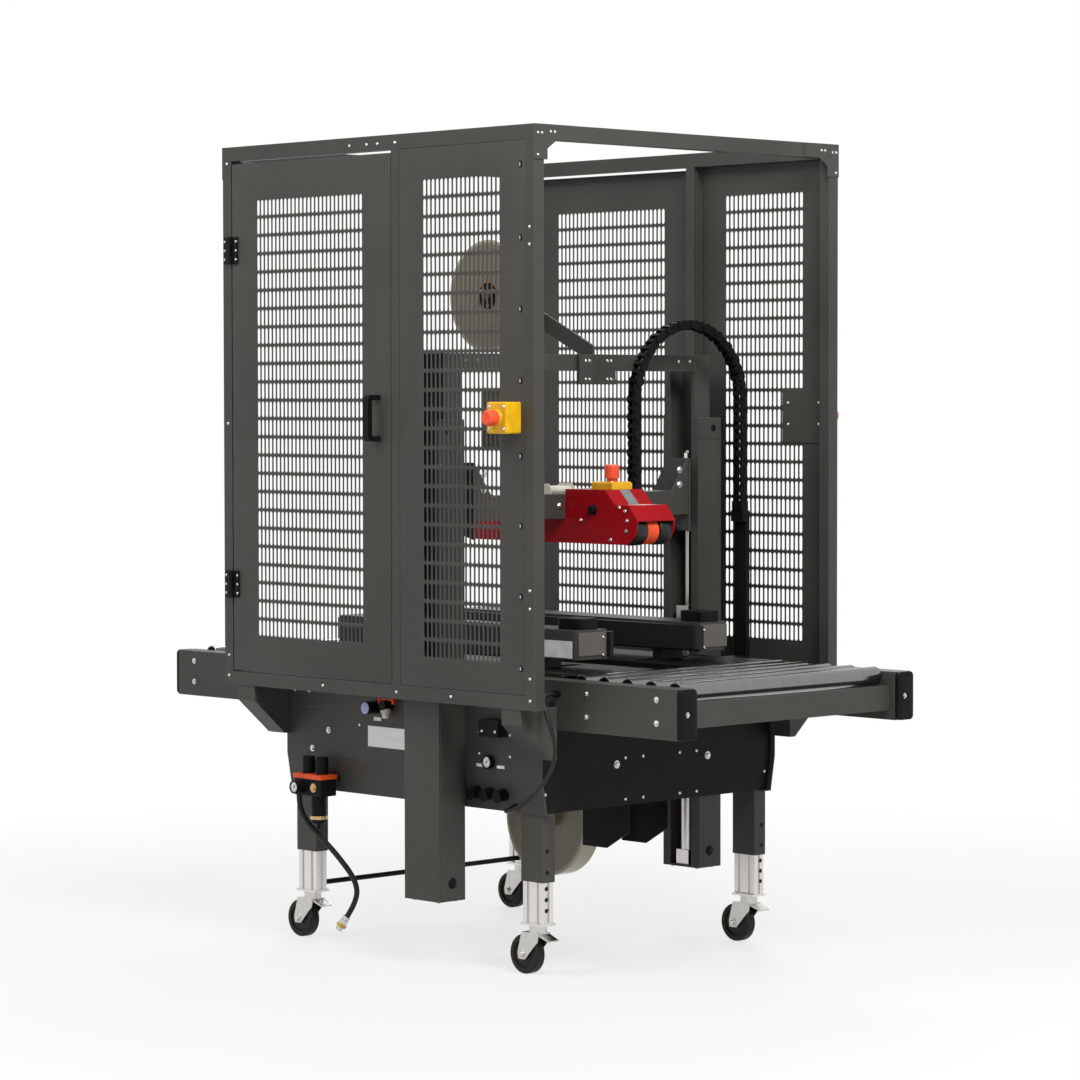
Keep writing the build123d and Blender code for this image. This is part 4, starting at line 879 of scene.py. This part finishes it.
def head_plates():
    """Bare plates on the sloping roof and the nose of the head."""
    slope = Vector((0.398 - 0.360, 0.0, 1.189 - 1.228)).normalized()
    normal = (-slope.z, 0.0, slope.x)
    centre = Vector((0.379, 0.0, 1.2085)) + 0.0002 * Vector(normal)
    plate = cuboid((-0.018, 0.018), (-0.026, 0.026), (0.0, 0.0006))
    turned = placed(plate, facing(normal, centre))
    piece("head_roof_plate", [turned], "lifting_head", plate_metal)
    flat = cuboid((0.402, 0.444), (-0.03, 0.03), (1.189, 1.1896))
    piece("head_nose_plate", [flat], "lifting_head", white_print)


def head_rollers():
    """Black wipe-down rollers on both sides of an orange centre roller."""
    place = (0.437, 0.0, 1.122)
    along = facing((0, 1, 0), place)
    black = []
    for sign in (-1, 1):
        inner = sign * 0.023
        outer = sign * 0.065
        profile = [(0.010, inner), (0.030, inner), (0.036, inner + sign * 0.002),
                   (0.038, inner + sign * 0.005), (0.038, outer - sign * 0.005),
                   (0.036, outer - sign * 0.001), (0.026, outer), (0.010, outer)]
        black.append(placed(lathe(profile, 48, True), along))
    piece("wipe_down_rollers", black, "head_roller", roller_rubber, 0.0,
          ("head_roller",))
    groove = [(0.010, -0.020), (0.033, -0.020), (0.036, -0.017), (0.036, -0.003),
              (0.0345, 0.0), (0.036, 0.003), (0.036, 0.017), (0.033, 0.020), (0.010, 0.020)]
    piece("centre_roller", [placed(lathe(groove, 48, True), along)], "head_roller",
          orange_urethane, 0.0, ("head_roller",))
    shaft = lathe([(0.0, -0.0725), (0.004, -0.0725), (0.005, -0.0715), (0.005, 0.0715),
                   (0.004, 0.0725), (0.0, 0.0725)], 20)
    piece("roller_shaft", [placed(shaft, along)], "head_roller", zinc, 0.0,
          ("head_roller",))


# Tape rolls

roll_radius = 0.152
roll_half_width = 0.030


def tape_roll(name, body, node, axis_x, axis_z):
    """Wound film on a board core, with a black hub and its bolts."""
    along = facing((0, 1, 0), (axis_x, 0.0, axis_z))
    film = [(0.040, -roll_half_width), (roll_radius - 0.001, -roll_half_width),
            (roll_radius, -roll_half_width + 0.001), (roll_radius, roll_half_width - 0.001),
            (roll_radius - 0.001, roll_half_width), (0.040, roll_half_width)]
    piece(name + "_film", [placed(lathe(film, 96, True), along)], body,
          wound_film(name + "_film", (0.168, 0.145, 0.092), axis_x, axis_z), 0.0, (node,))
    core = [(0.036, -roll_half_width - 0.0005), (0.0398, -roll_half_width - 0.0005),
            (0.0398, roll_half_width + 0.0005), (0.036, roll_half_width + 0.0005)]
    piece(name + "_core", [placed(lathe(core, 48, True), along)], body,
          board_brown, 0.0, (node,))
    hub_parts = []
    for sign in (-1, 1):
        face = sign * (roll_half_width - 0.004)
        hub = [(0.0122, face - sign * 0.006), (0.034, face - sign * 0.006), (0.0357, face),
               (0.030, face + sign * 0.002), (0.020, face + sign * 0.002),
               (0.018, face + sign * 0.006), (0.0122, face + sign * 0.006)]
        hub_parts.append(placed(lathe(hub, 40, True), along))
    piece(name + "_hub", hub_parts, body, black_plastic, 0.0, (node,))
    places = []
    for k in range(3):
        angle = 2 * math.pi * (k + 0.25) / 3
        x = axis_x + 0.026 * math.cos(angle)
        z = axis_z + 0.026 * math.sin(angle)
        for sign in (-1, 1):
            places.append(((0, sign, 0), (x, sign * (roll_half_width - 0.002), z)))
    fasteners(name + "_hub_bolts", body, socket_screw(0.0045), places)


# Energy chain

chain_x = 0.300
chain_inner_y = 0.100
chain_outer_y = 0.512
chain_apex_z = 1.664
chain_inner_end_z = 1.216
chain_outer_end_z = 1.160
chain_pitch = 0.0235
chain_half_width = 0.017
chain_half_height = 0.013
chain_eye_radius = 0.0082


def chain_length():
    radius = 0.5 * (chain_outer_y - chain_inner_y)
    spring_z = chain_apex_z - radius
    return 2 * spring_z - chain_inner_end_z - chain_outer_end_z + math.pi * radius


def chain_point(distance):
    """Place and direction on the chain's centre line, from its moving end."""
    radius = 0.5 * (chain_outer_y - chain_inner_y)
    spring_z = chain_apex_z - radius
    rise = spring_z - chain_inner_end_z
    arc = math.pi * radius
    if distance < rise:
        return Vector((chain_x, chain_inner_y, chain_inner_end_z + distance)), Vector((0, 0, 1))
    if distance < rise + arc:
        angle = (distance - rise) / radius
        place = Vector((chain_x, chain_inner_y + radius * (1 - math.cos(angle)),
                        spring_z + radius * math.sin(angle)))
        return place, Vector((0, math.sin(angle), math.cos(angle)))
    drop = distance - rise - arc
    return Vector((chain_x, chain_outer_y, spring_z - drop)), Vector((0, 0, -1))


def along_chain(place, direction):
    """Matrix that lays Z along the chain, X across its thickness and Y along its width."""
    across = Vector((1, 0, 0))
    outward = direction.cross(across)
    return Matrix.Translation(place) @ Matrix((outward, across, direction)).transposed().to_4x4()


def chain_link(inner):
    """Two side plates with rounded ends, two cross bars and the pins, along Z."""
    half = chain_half_height
    outline = []
    for side, start in ((1, 0.0), (-1, math.pi)):
        outline += [(side * half, -side * 0.0052), (side * half, side * 0.0052)]
        for i in range(7):
            angle = start + math.pi * i / 6
            outline.append((chain_eye_radius * math.cos(angle),
                            side * 0.5 * chain_pitch + chain_eye_radius * math.sin(angle)))
    parts = []
    offset = chain_half_width - (0.0055 if inner else 0.0025)
    turn = Matrix(((1, 0, 0, 0), (0, 0, 1, 0), (0, 1, 0, 0), (0, 0, 0, 1)))
    pin = lathe([(0.0, 0.0022), (0.0035, 0.0022), (0.0035, 0.0)], 12)
    for sign in (-1, 1):
        plate = prism(outline, sign * offset - 0.0013, sign * offset + 0.0013)
        parts.append(placed(plate, turn))
        bar_x = sorted((sign * (half - 0.0028), sign * half))
        parts.append(cuboid(bar_x, (-offset, offset), (-0.0048, 0.0048)))
        place = (0, sign * offset, -0.5 * chain_pitch)
        parts.append(placed(pin, facing((0, sign, 0), place)))
    return joined(parts)


def chain_strand(offset_width, offset_height, radius, steps=8, stations=60):
    """Round cable that runs inside the whole chain."""
    points = []
    faces = []
    for i in range(stations + 1):
        matrix = along_chain(*chain_point(chain_length() * i / stations))
        for k in range(steps):
            angle = 2 * math.pi * k / steps
            local = (offset_height + radius * math.cos(angle),
                     offset_width + radius * math.sin(angle), 0.0)
            points.append(tuple(matrix @ Vector(local)))
    for i in range(stations):
        for k in range(steps):
            j = (k + 1) % steps
            faces.append([i * steps + k, i * steps + j, (i + 1) * steps + j, (i + 1) * steps + k])
    faces.append(list(range(steps))[::-1])
    faces.append(list(range(stations * steps, (stations + 1) * steps)))
    return points, faces


def energy_chain():
    count = int(chain_length() / chain_pitch)
    links = []
    for i in range(count):
        matrix = along_chain(*chain_point((i + 0.5) * chain_length() / count))
        links.append(placed(chain_link(i % 2 == 1), matrix))
    chain = piece("chain_links", links, "machine", black_plastic, 0.0,
                  ("energy_chain",))
    strands = [chain_strand(-0.006, 0.002, 0.0036), chain_strand(0.002, -0.003, 0.0044),
               chain_strand(0.0085, 0.003, 0.003)]
    cables = piece("chain_cables", strands, "machine", hose_rubber, 0.0,
                   ("energy_chain",))
    for obj in (chain, cables):
        obj.parent = None
        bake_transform(obj)
    bar_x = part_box("head_carriage")[1].x
    end = cuboid((bar_x, chain_x + 0.018), (chain_inner_y - 0.0145, chain_inner_y + 0.0145),
                 (chain_inner_end_z - 0.022, chain_inner_end_z + 0.012))
    piece("chain_moving_end", [end], "lifting_head", black_plastic, 0.001)
    end = cuboid((chain_x - 0.0185, chain_x + 0.0185),
                 (chain_outer_y - 0.0145, chain_outer_y + 0.0125),
                 (chain_outer_end_z, chain_outer_end_z + 0.026))
    piece("chain_fixed_end", [end], "machine", black_plastic, 0.001)


# Cords

hose_route = [
    (-0.403, -0.475, 0.410), (-0.403, -0.475, 0.368), (-0.387, -0.463, 0.327),
    (-0.352, -0.437, 0.282), (-0.318, -0.411, 0.236), (-0.278, -0.381, 0.170),
    (-0.275, -0.379, 0.117), (-0.298, -0.396, 0.073),
]
cable_route = [
    (0.560, -0.447, 0.728), (0.560, -0.481, 0.728), (0.577, -0.503, 0.709),
    (0.594, -0.506, 0.675), (0.606, -0.500, 0.636), (0.608, -0.491, 0.594),
    (0.592, -0.484, 0.553), (0.564, -0.479, 0.517), (0.530, -0.476, 0.485),
    (0.494, -0.475, 0.459), (0.459, -0.477, 0.437), (0.432, -0.482, 0.425),
    (0.405, -0.473, 0.421), (0.392, -0.45311, 0.42263), (0.392, -0.4334, 0.42599),
]


def cord_curve(name, route, radius, node, material):
    """Round cord on a smooth curve through the route's control points."""
    curve = bpy.data.curves.new(name, "CURVE")
    curve.dimensions = "3D"
    curve.bevel_depth = radius
    curve.bevel_resolution = 4
    curve.resolution_u = 12
    curve.use_fill_caps = True
    spline = curve.splines.new("NURBS")
    spline.points.add(len(route) - 1)
    for point, place in zip(spline.points, route):
        point.co = (*place, 1.0)
    spline.order_u = 3
    spline.use_endpoint_u = True
    curve.materials.append(material)
    obj = bpy.data.objects.new(name, curve)
    scene.collection.objects.link(obj)
    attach(obj, "machine")
    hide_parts(node)
    return obj


def hose_coupling():
    """Quick coupling on the hose's free end: crimped collar, knurled sleeve and ring."""
    end = Vector(hose_route[-1])
    direction = (end - Vector(hose_route[-2])).normalized()
    along = facing(direction, end)
    body = [(0.0, 0.0), (0.0095, 0.0), (0.0105, 0.001), (0.0105, 0.008), (0.009, 0.009),
            (0.009, 0.011), (0.0108, 0.012), (0.0108, 0.022), (0.0125, 0.023), (0.0125, 0.034),
            (0.0095, 0.0355), (0.0095, 0.044), (0.006, 0.044), (0.006, 0.036), (0.0, 0.036)]
    sleeve = piece("coupling_body", [placed(lathe(body, 32), along)], "machine",
                   zinc, 0.0, ("hose_coupling",))
    ring = [(0.0125, 0.0245), (0.0138, 0.025), (0.0138, 0.032), (0.0125, 0.0325)]
    band = piece("coupling_ring", [placed(lathe(ring, 32, True), along)], "machine",
                 yellow_plastic, 0.0, ("hose_coupling",))
    return [sleeve, band]


def cords():
    hose = cord_curve("supply_hose_line", hose_route, 0.0075, "supply_hose",
                      hose_rubber)
    hose_coupling()
    cable = cord_curve("drive_cable_line", cable_route, 0.005, "drive_cable",
                       hose_rubber)


# Air preparation unit and the fittings on the bed side

def gauge_face(name, centre, direction, radius):
    """Bezel, pale dial with ticks, and a needle."""
    along = facing(direction, centre)
    bezel = lathe([(radius - 0.003, 0.0), (radius - 0.003, 0.003), (radius - 0.0015, 0.0045),
                   (radius + 0.0006, 0.003), (radius + 0.0006, -0.004)], 40)
    piece(name + "_bezel", [placed(bezel, along)], "machine", black_plastic)
    dial = lathe([(0.0, 0.0012), (radius - 0.003, 0.0012), (radius - 0.003, 0.0004)], 40)
    piece(name + "_dial", [placed(dial, along)], "machine", white_print)
    marks = []
    for i in range(11):
        angle = math.radians(-225 + 27 * i)
        turn = Matrix.Rotation(angle, 4, "Z")
        tick = cuboid((radius * 0.62, radius * 0.76), (-0.0004, 0.0004), (0.0012, 0.0015))
        marks.append(placed(placed(tick, turn), along))
    needle = cuboid((-radius * 0.15, radius * 0.6), (-0.0005, 0.0005), (0.0016, 0.002))
    marks.append(placed(placed(needle, Matrix.Rotation(math.radians(40), 4, "Z")), along))
    marks.append(placed(lathe([(0.0, 0.003), (0.0018, 0.0026), (0.002, 0.0012)], 12), along))
    piece(name + "_marks", marks, "machine", black_plastic)


def ribbed_knob(radius, height, ribs=18):
    """Round knob with shallow grips."""
    outline = []
    for i in range(2 * ribs):
        angle = math.pi * i / ribs
        reach = radius if i % 2 else radius - 0.0012
        outline.append((reach * math.cos(angle), reach * math.sin(angle)))
    return prism(outline, 0.0, height)


def air_unit_details():
    low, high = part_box("air_unit")
    gauge_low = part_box("bed_side_fittings")[0]
    unit_x = -0.3625
    gauge_face("unit_gauge", (unit_x, gauge_low.y, 0.4275), near_side, 0.017)
    gauge_face("panel_gauge", (0.310, -0.447, 0.538), near_side, 0.017)
    grips = []
    for x in (-0.3625, -0.3075):
        grips.append(placed(ribbed_knob(0.0178, 0.034), Matrix.Translation((x, -0.475, 0.466))))
    piece("unit_knob_grips", grips, "machine", black_plastic, 0.0006)
    collar = lathe([(0.0215, 0.0), (0.0235, 0.001), (0.0235, 0.010), (0.0215, 0.011)], 32)
    bowl_x = -0.32125
    piece("bowl_collar", [placed(collar, Matrix.Translation((bowl_x, -0.475, 0.340)))], "machine",
          brass)
    fasteners("unit_port", "machine", hex_bolt(0.008), [(near_side, (-0.309, -0.5035, 0.4275))],
              brass)


def panel_fittings():
    """Blue-faced valve knob, red locking tabs, a cream inlet gland, bare plates and labels, and two
    screws.
    """
    valve = lathe([(0.0, 0.001), (0.013, 0.001), (0.0155, 0.0002), (0.0155, -0.002)], 28)
    piece("valve_face", [placed(valve, facing(near_side, (-0.130, -0.477, 0.651)))], "machine",
          valve_blue)
    tabs = [cuboid((-0.102, -0.042), (-0.452, -0.448), (0.672, 0.678)),
            cuboid((-0.102, -0.096), (-0.456, -0.444), (0.664, 0.680)),
            cuboid((-0.048, -0.042), (-0.456, -0.444), (0.664, 0.680))]
    piece("inlet_tabs", tabs, "machine", stop_red, 0.0008)
    cone = lathe([(0.0, 0.0), (0.0135, 0.0), (0.0135, 0.010), (0.010, 0.012), (0.010, 0.020),
                  (0.007, 0.026), (0.0, 0.026)], 20)
    piece("inlet_gland", [placed(cone, facing((0, 0, -1), (-0.072, -0.455, 0.652)))], "machine",
          cream_plastic)
    side_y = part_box("bed_sides")[0].y
    plate = cuboid((-0.165, 0.055), (side_y - 0.0008, side_y), (0.545, 0.600))
    piece("bare_plate", [plate], "machine", plate_metal)
    labels = [cuboid((x, x + 0.028), (side_y - 0.0005, side_y), (0.523, 0.531))
              for x in (0.258, 0.335)]
    labels.append(cuboid((-0.142, -0.112), (side_y - 0.0005, side_y), (0.615, 0.625)))
    piece("bare_labels", labels, "machine", white_print)
    screws = [(near_side, (x, -0.467, 0.620)) for x in (0.312, 0.360)]
    fasteners("limit_box_screws", "machine", dome_screw(0.0042), screws)


# Side drives

drive_outer_y = 0.280


def drive_details():
    for side, sign in (("near", -1), ("far", 1)):
        body = side + "_drive"
        low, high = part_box(side + "_side_drive")
        y = sorted((sign * 0.178, sign * 0.276))
        plates = [cuboid((high.x, high.x + 0.002), y, (low.z + 0.09, high.z - 0.006)),
                  cuboid((low.x - 0.002, low.x), y, (low.z + 0.09, high.z - 0.006))]
        piece(side + "_drive_end_plates", plates, body, light_paint, 0.0006)
        places = []
        for z in (high.z - 0.020, high.z - 0.066):
            places.append((exit_end, (high.x + 0.002, sign * 0.188, z)))
            places.append((infeed_end, (low.x - 0.002, sign * 0.188, z)))
        fasteners(side + "_drive_screws", body, dome_screw(0.0048), places)
        outer = sign * drive_outer_y
        label = cuboid((0.338, 0.452), sorted((outer, outer + sign * 0.0005)), (0.802, 0.846))
        piece(side + "_drive_plate", [label], body, white_print)


# Casters

def caster_details():
    for corner, end, side in (("near_exit", 1, -1), ("far_exit", 1, 1),
                              ("near_infeed", -1, -1), ("far_infeed", -1, 1)):
        low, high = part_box(corner + "_caster_wheel")
        centre = 0.5 * (low + high)
        half = 0.5 * (high.y - low.y)
        hubs = []
        for sign in (-1, 1):
            hub = lathe([(0.0055, 0.0), (0.014, 0.0), (0.0145, -0.002), (0.034, -0.004),
                         (0.0345, 0.0)], 32)
            hubs.append(placed(hub, facing((0, sign, 0),
                                           (centre.x, centre.y + sign * half, centre.z))))
        piece(corner + "_hub_rings", hubs, corner + "_wheel", wheel_hub)
        fork_low, fork_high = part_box(corner + "_caster_fork")
        nuts = [((0, sign, 0), (centre.x, 0.5 * (fork_low.y + fork_high.y)
                                + sign * (half + 0.0055), centre.z)) for sign in (-1, 1)]
        fasteners(corner + "_axle_nuts", corner + "_swivel", hex_bolt(0.0078), nuts)


# Stage and light

floor_half = 14.0
shadow_radius = (1.6, 3.4)
floor_glow = 0.72
surround_light = 0.36


def seen_directly(tree):
    """1 for rays from the camera, mirrored rays and rays through clear pieces, else 0."""
    light_path = tree.nodes.new("ShaderNodeLightPath")
    result = light_path.outputs["Is Camera Ray"]
    for name in ("Is Glossy Ray", "Is Transmission Ray"):
        node = tree.nodes.new("ShaderNodeMath")
        node.operation = "MAXIMUM"
        tree.links.new(result, node.inputs[0])
        tree.links.new(light_path.outputs[name], node.inputs[1])
        result = node.outputs["Value"]
    return result


def add_stage():
    """Pale floor that keeps the shadow near the machine and fades into the background."""
    material = bpy.data.materials.new("floor")
    material.use_nodes = True
    tree = material.node_tree
    shader = tree.nodes["Principled BSDF"]
    shader.inputs["Base Color"].default_value = (0.66, 0.66, 0.66, 1.0)
    shader.inputs["Roughness"].default_value = 0.6
    source = tree.nodes.new("ShaderNodeTexCoord")
    length = tree.nodes.new("ShaderNodeVectorMath")
    length.operation = "LENGTH"
    tree.links.new(source.outputs["Object"], length.inputs[0])
    fade = remap(tree, length.outputs["Value"], floor_glow, 1.0, shadow_radius[0],
                 shadow_radius[1])
    factor = tree.nodes.new("ShaderNodeMath")
    factor.operation = "MULTIPLY"
    tree.links.new(fade, factor.inputs[0])
    tree.links.new(seen_directly(tree), factor.inputs[1])
    glow = tree.nodes.new("ShaderNodeEmission")
    glow.inputs["Strength"].default_value = 1.0
    mix = tree.nodes.new("ShaderNodeMixShader")
    tree.links.new(factor.outputs["Value"], mix.inputs[0])
    tree.links.new(shader.outputs["BSDF"], mix.inputs[1])
    tree.links.new(glow.outputs["Emission"], mix.inputs[2])
    tree.links.new(mix.outputs["Shader"], tree.nodes["Material Output"].inputs["Surface"])
    mesh = bpy.data.meshes.new("floor")
    corners = [(-floor_half, -floor_half, 0.0), (floor_half, -floor_half, 0.0),
               (floor_half, floor_half, 0.0), (-floor_half, floor_half, 0.0)]
    mesh.from_pydata(corners, [], [[0, 1, 2, 3]])
    mesh.materials.append(material)
    floor = bpy.data.objects.new("floor", mesh)
    scene.collection.objects.link(floor)


def add_world():
    """White surroundings for the eye and for reflections, softer as a light."""
    world = bpy.data.worlds.new("world")
    world.use_nodes = True
    tree = world.node_tree
    background = tree.nodes["Background"]
    background.inputs["Color"].default_value = (1.0, 1.0, 1.0, 1.0)
    strength = remap(tree, seen_directly(tree), surround_light, 1.0, 0.0, 1.0)
    tree.links.new(strength, background.inputs["Strength"])
    scene.world = world


def add_area(name, place, target, size, power):
    data = bpy.data.lights.new(name, "AREA")
    data.shape = "DISK"
    data.size = size
    data.energy = power
    obj = bpy.data.objects.new(name, data)
    scene.collection.objects.link(obj)
    direction = Vector(target) - Vector(place)
    obj.matrix_world = (Matrix.Translation(place)
                        @ direction.to_track_quat("-Z", "Y").to_matrix().to_4x4())


def add_lights():
    add_world()
    add_area("key", (-1.0, -4.1, 5.5), (0.0, 0.0, 1.1), 2.4, 130.0)
    add_area("fill", (4.4, -1.6, 5.0), (0.3, 0.0, 1.0), 2.6, 320.0)
    add_area("back", (-3.6, 4.2, 4.8), (0.0, 0.0, 1.0), 2.6, 140.0)


add_camera()
dress_nodes()
cords()
guard_panels()
stop_plates()
guard_details()
hinge_screws()
stop_details()
bed_details()
rail_caps()
conveyor_rollers()
leg_details()
column_details()
head_details()
head_plates()
head_rollers()
tape_roll("upper_roll", "upper_roll", "upper_tape_roll", -0.131, 1.745)
tape_roll("lower_roll", "lower_roll", "lower_tape_roll", 0.092, 0.339)
energy_chain()
air_unit_details()
panel_fittings()
drive_details()
caster_details()
add_stage()
add_lights()
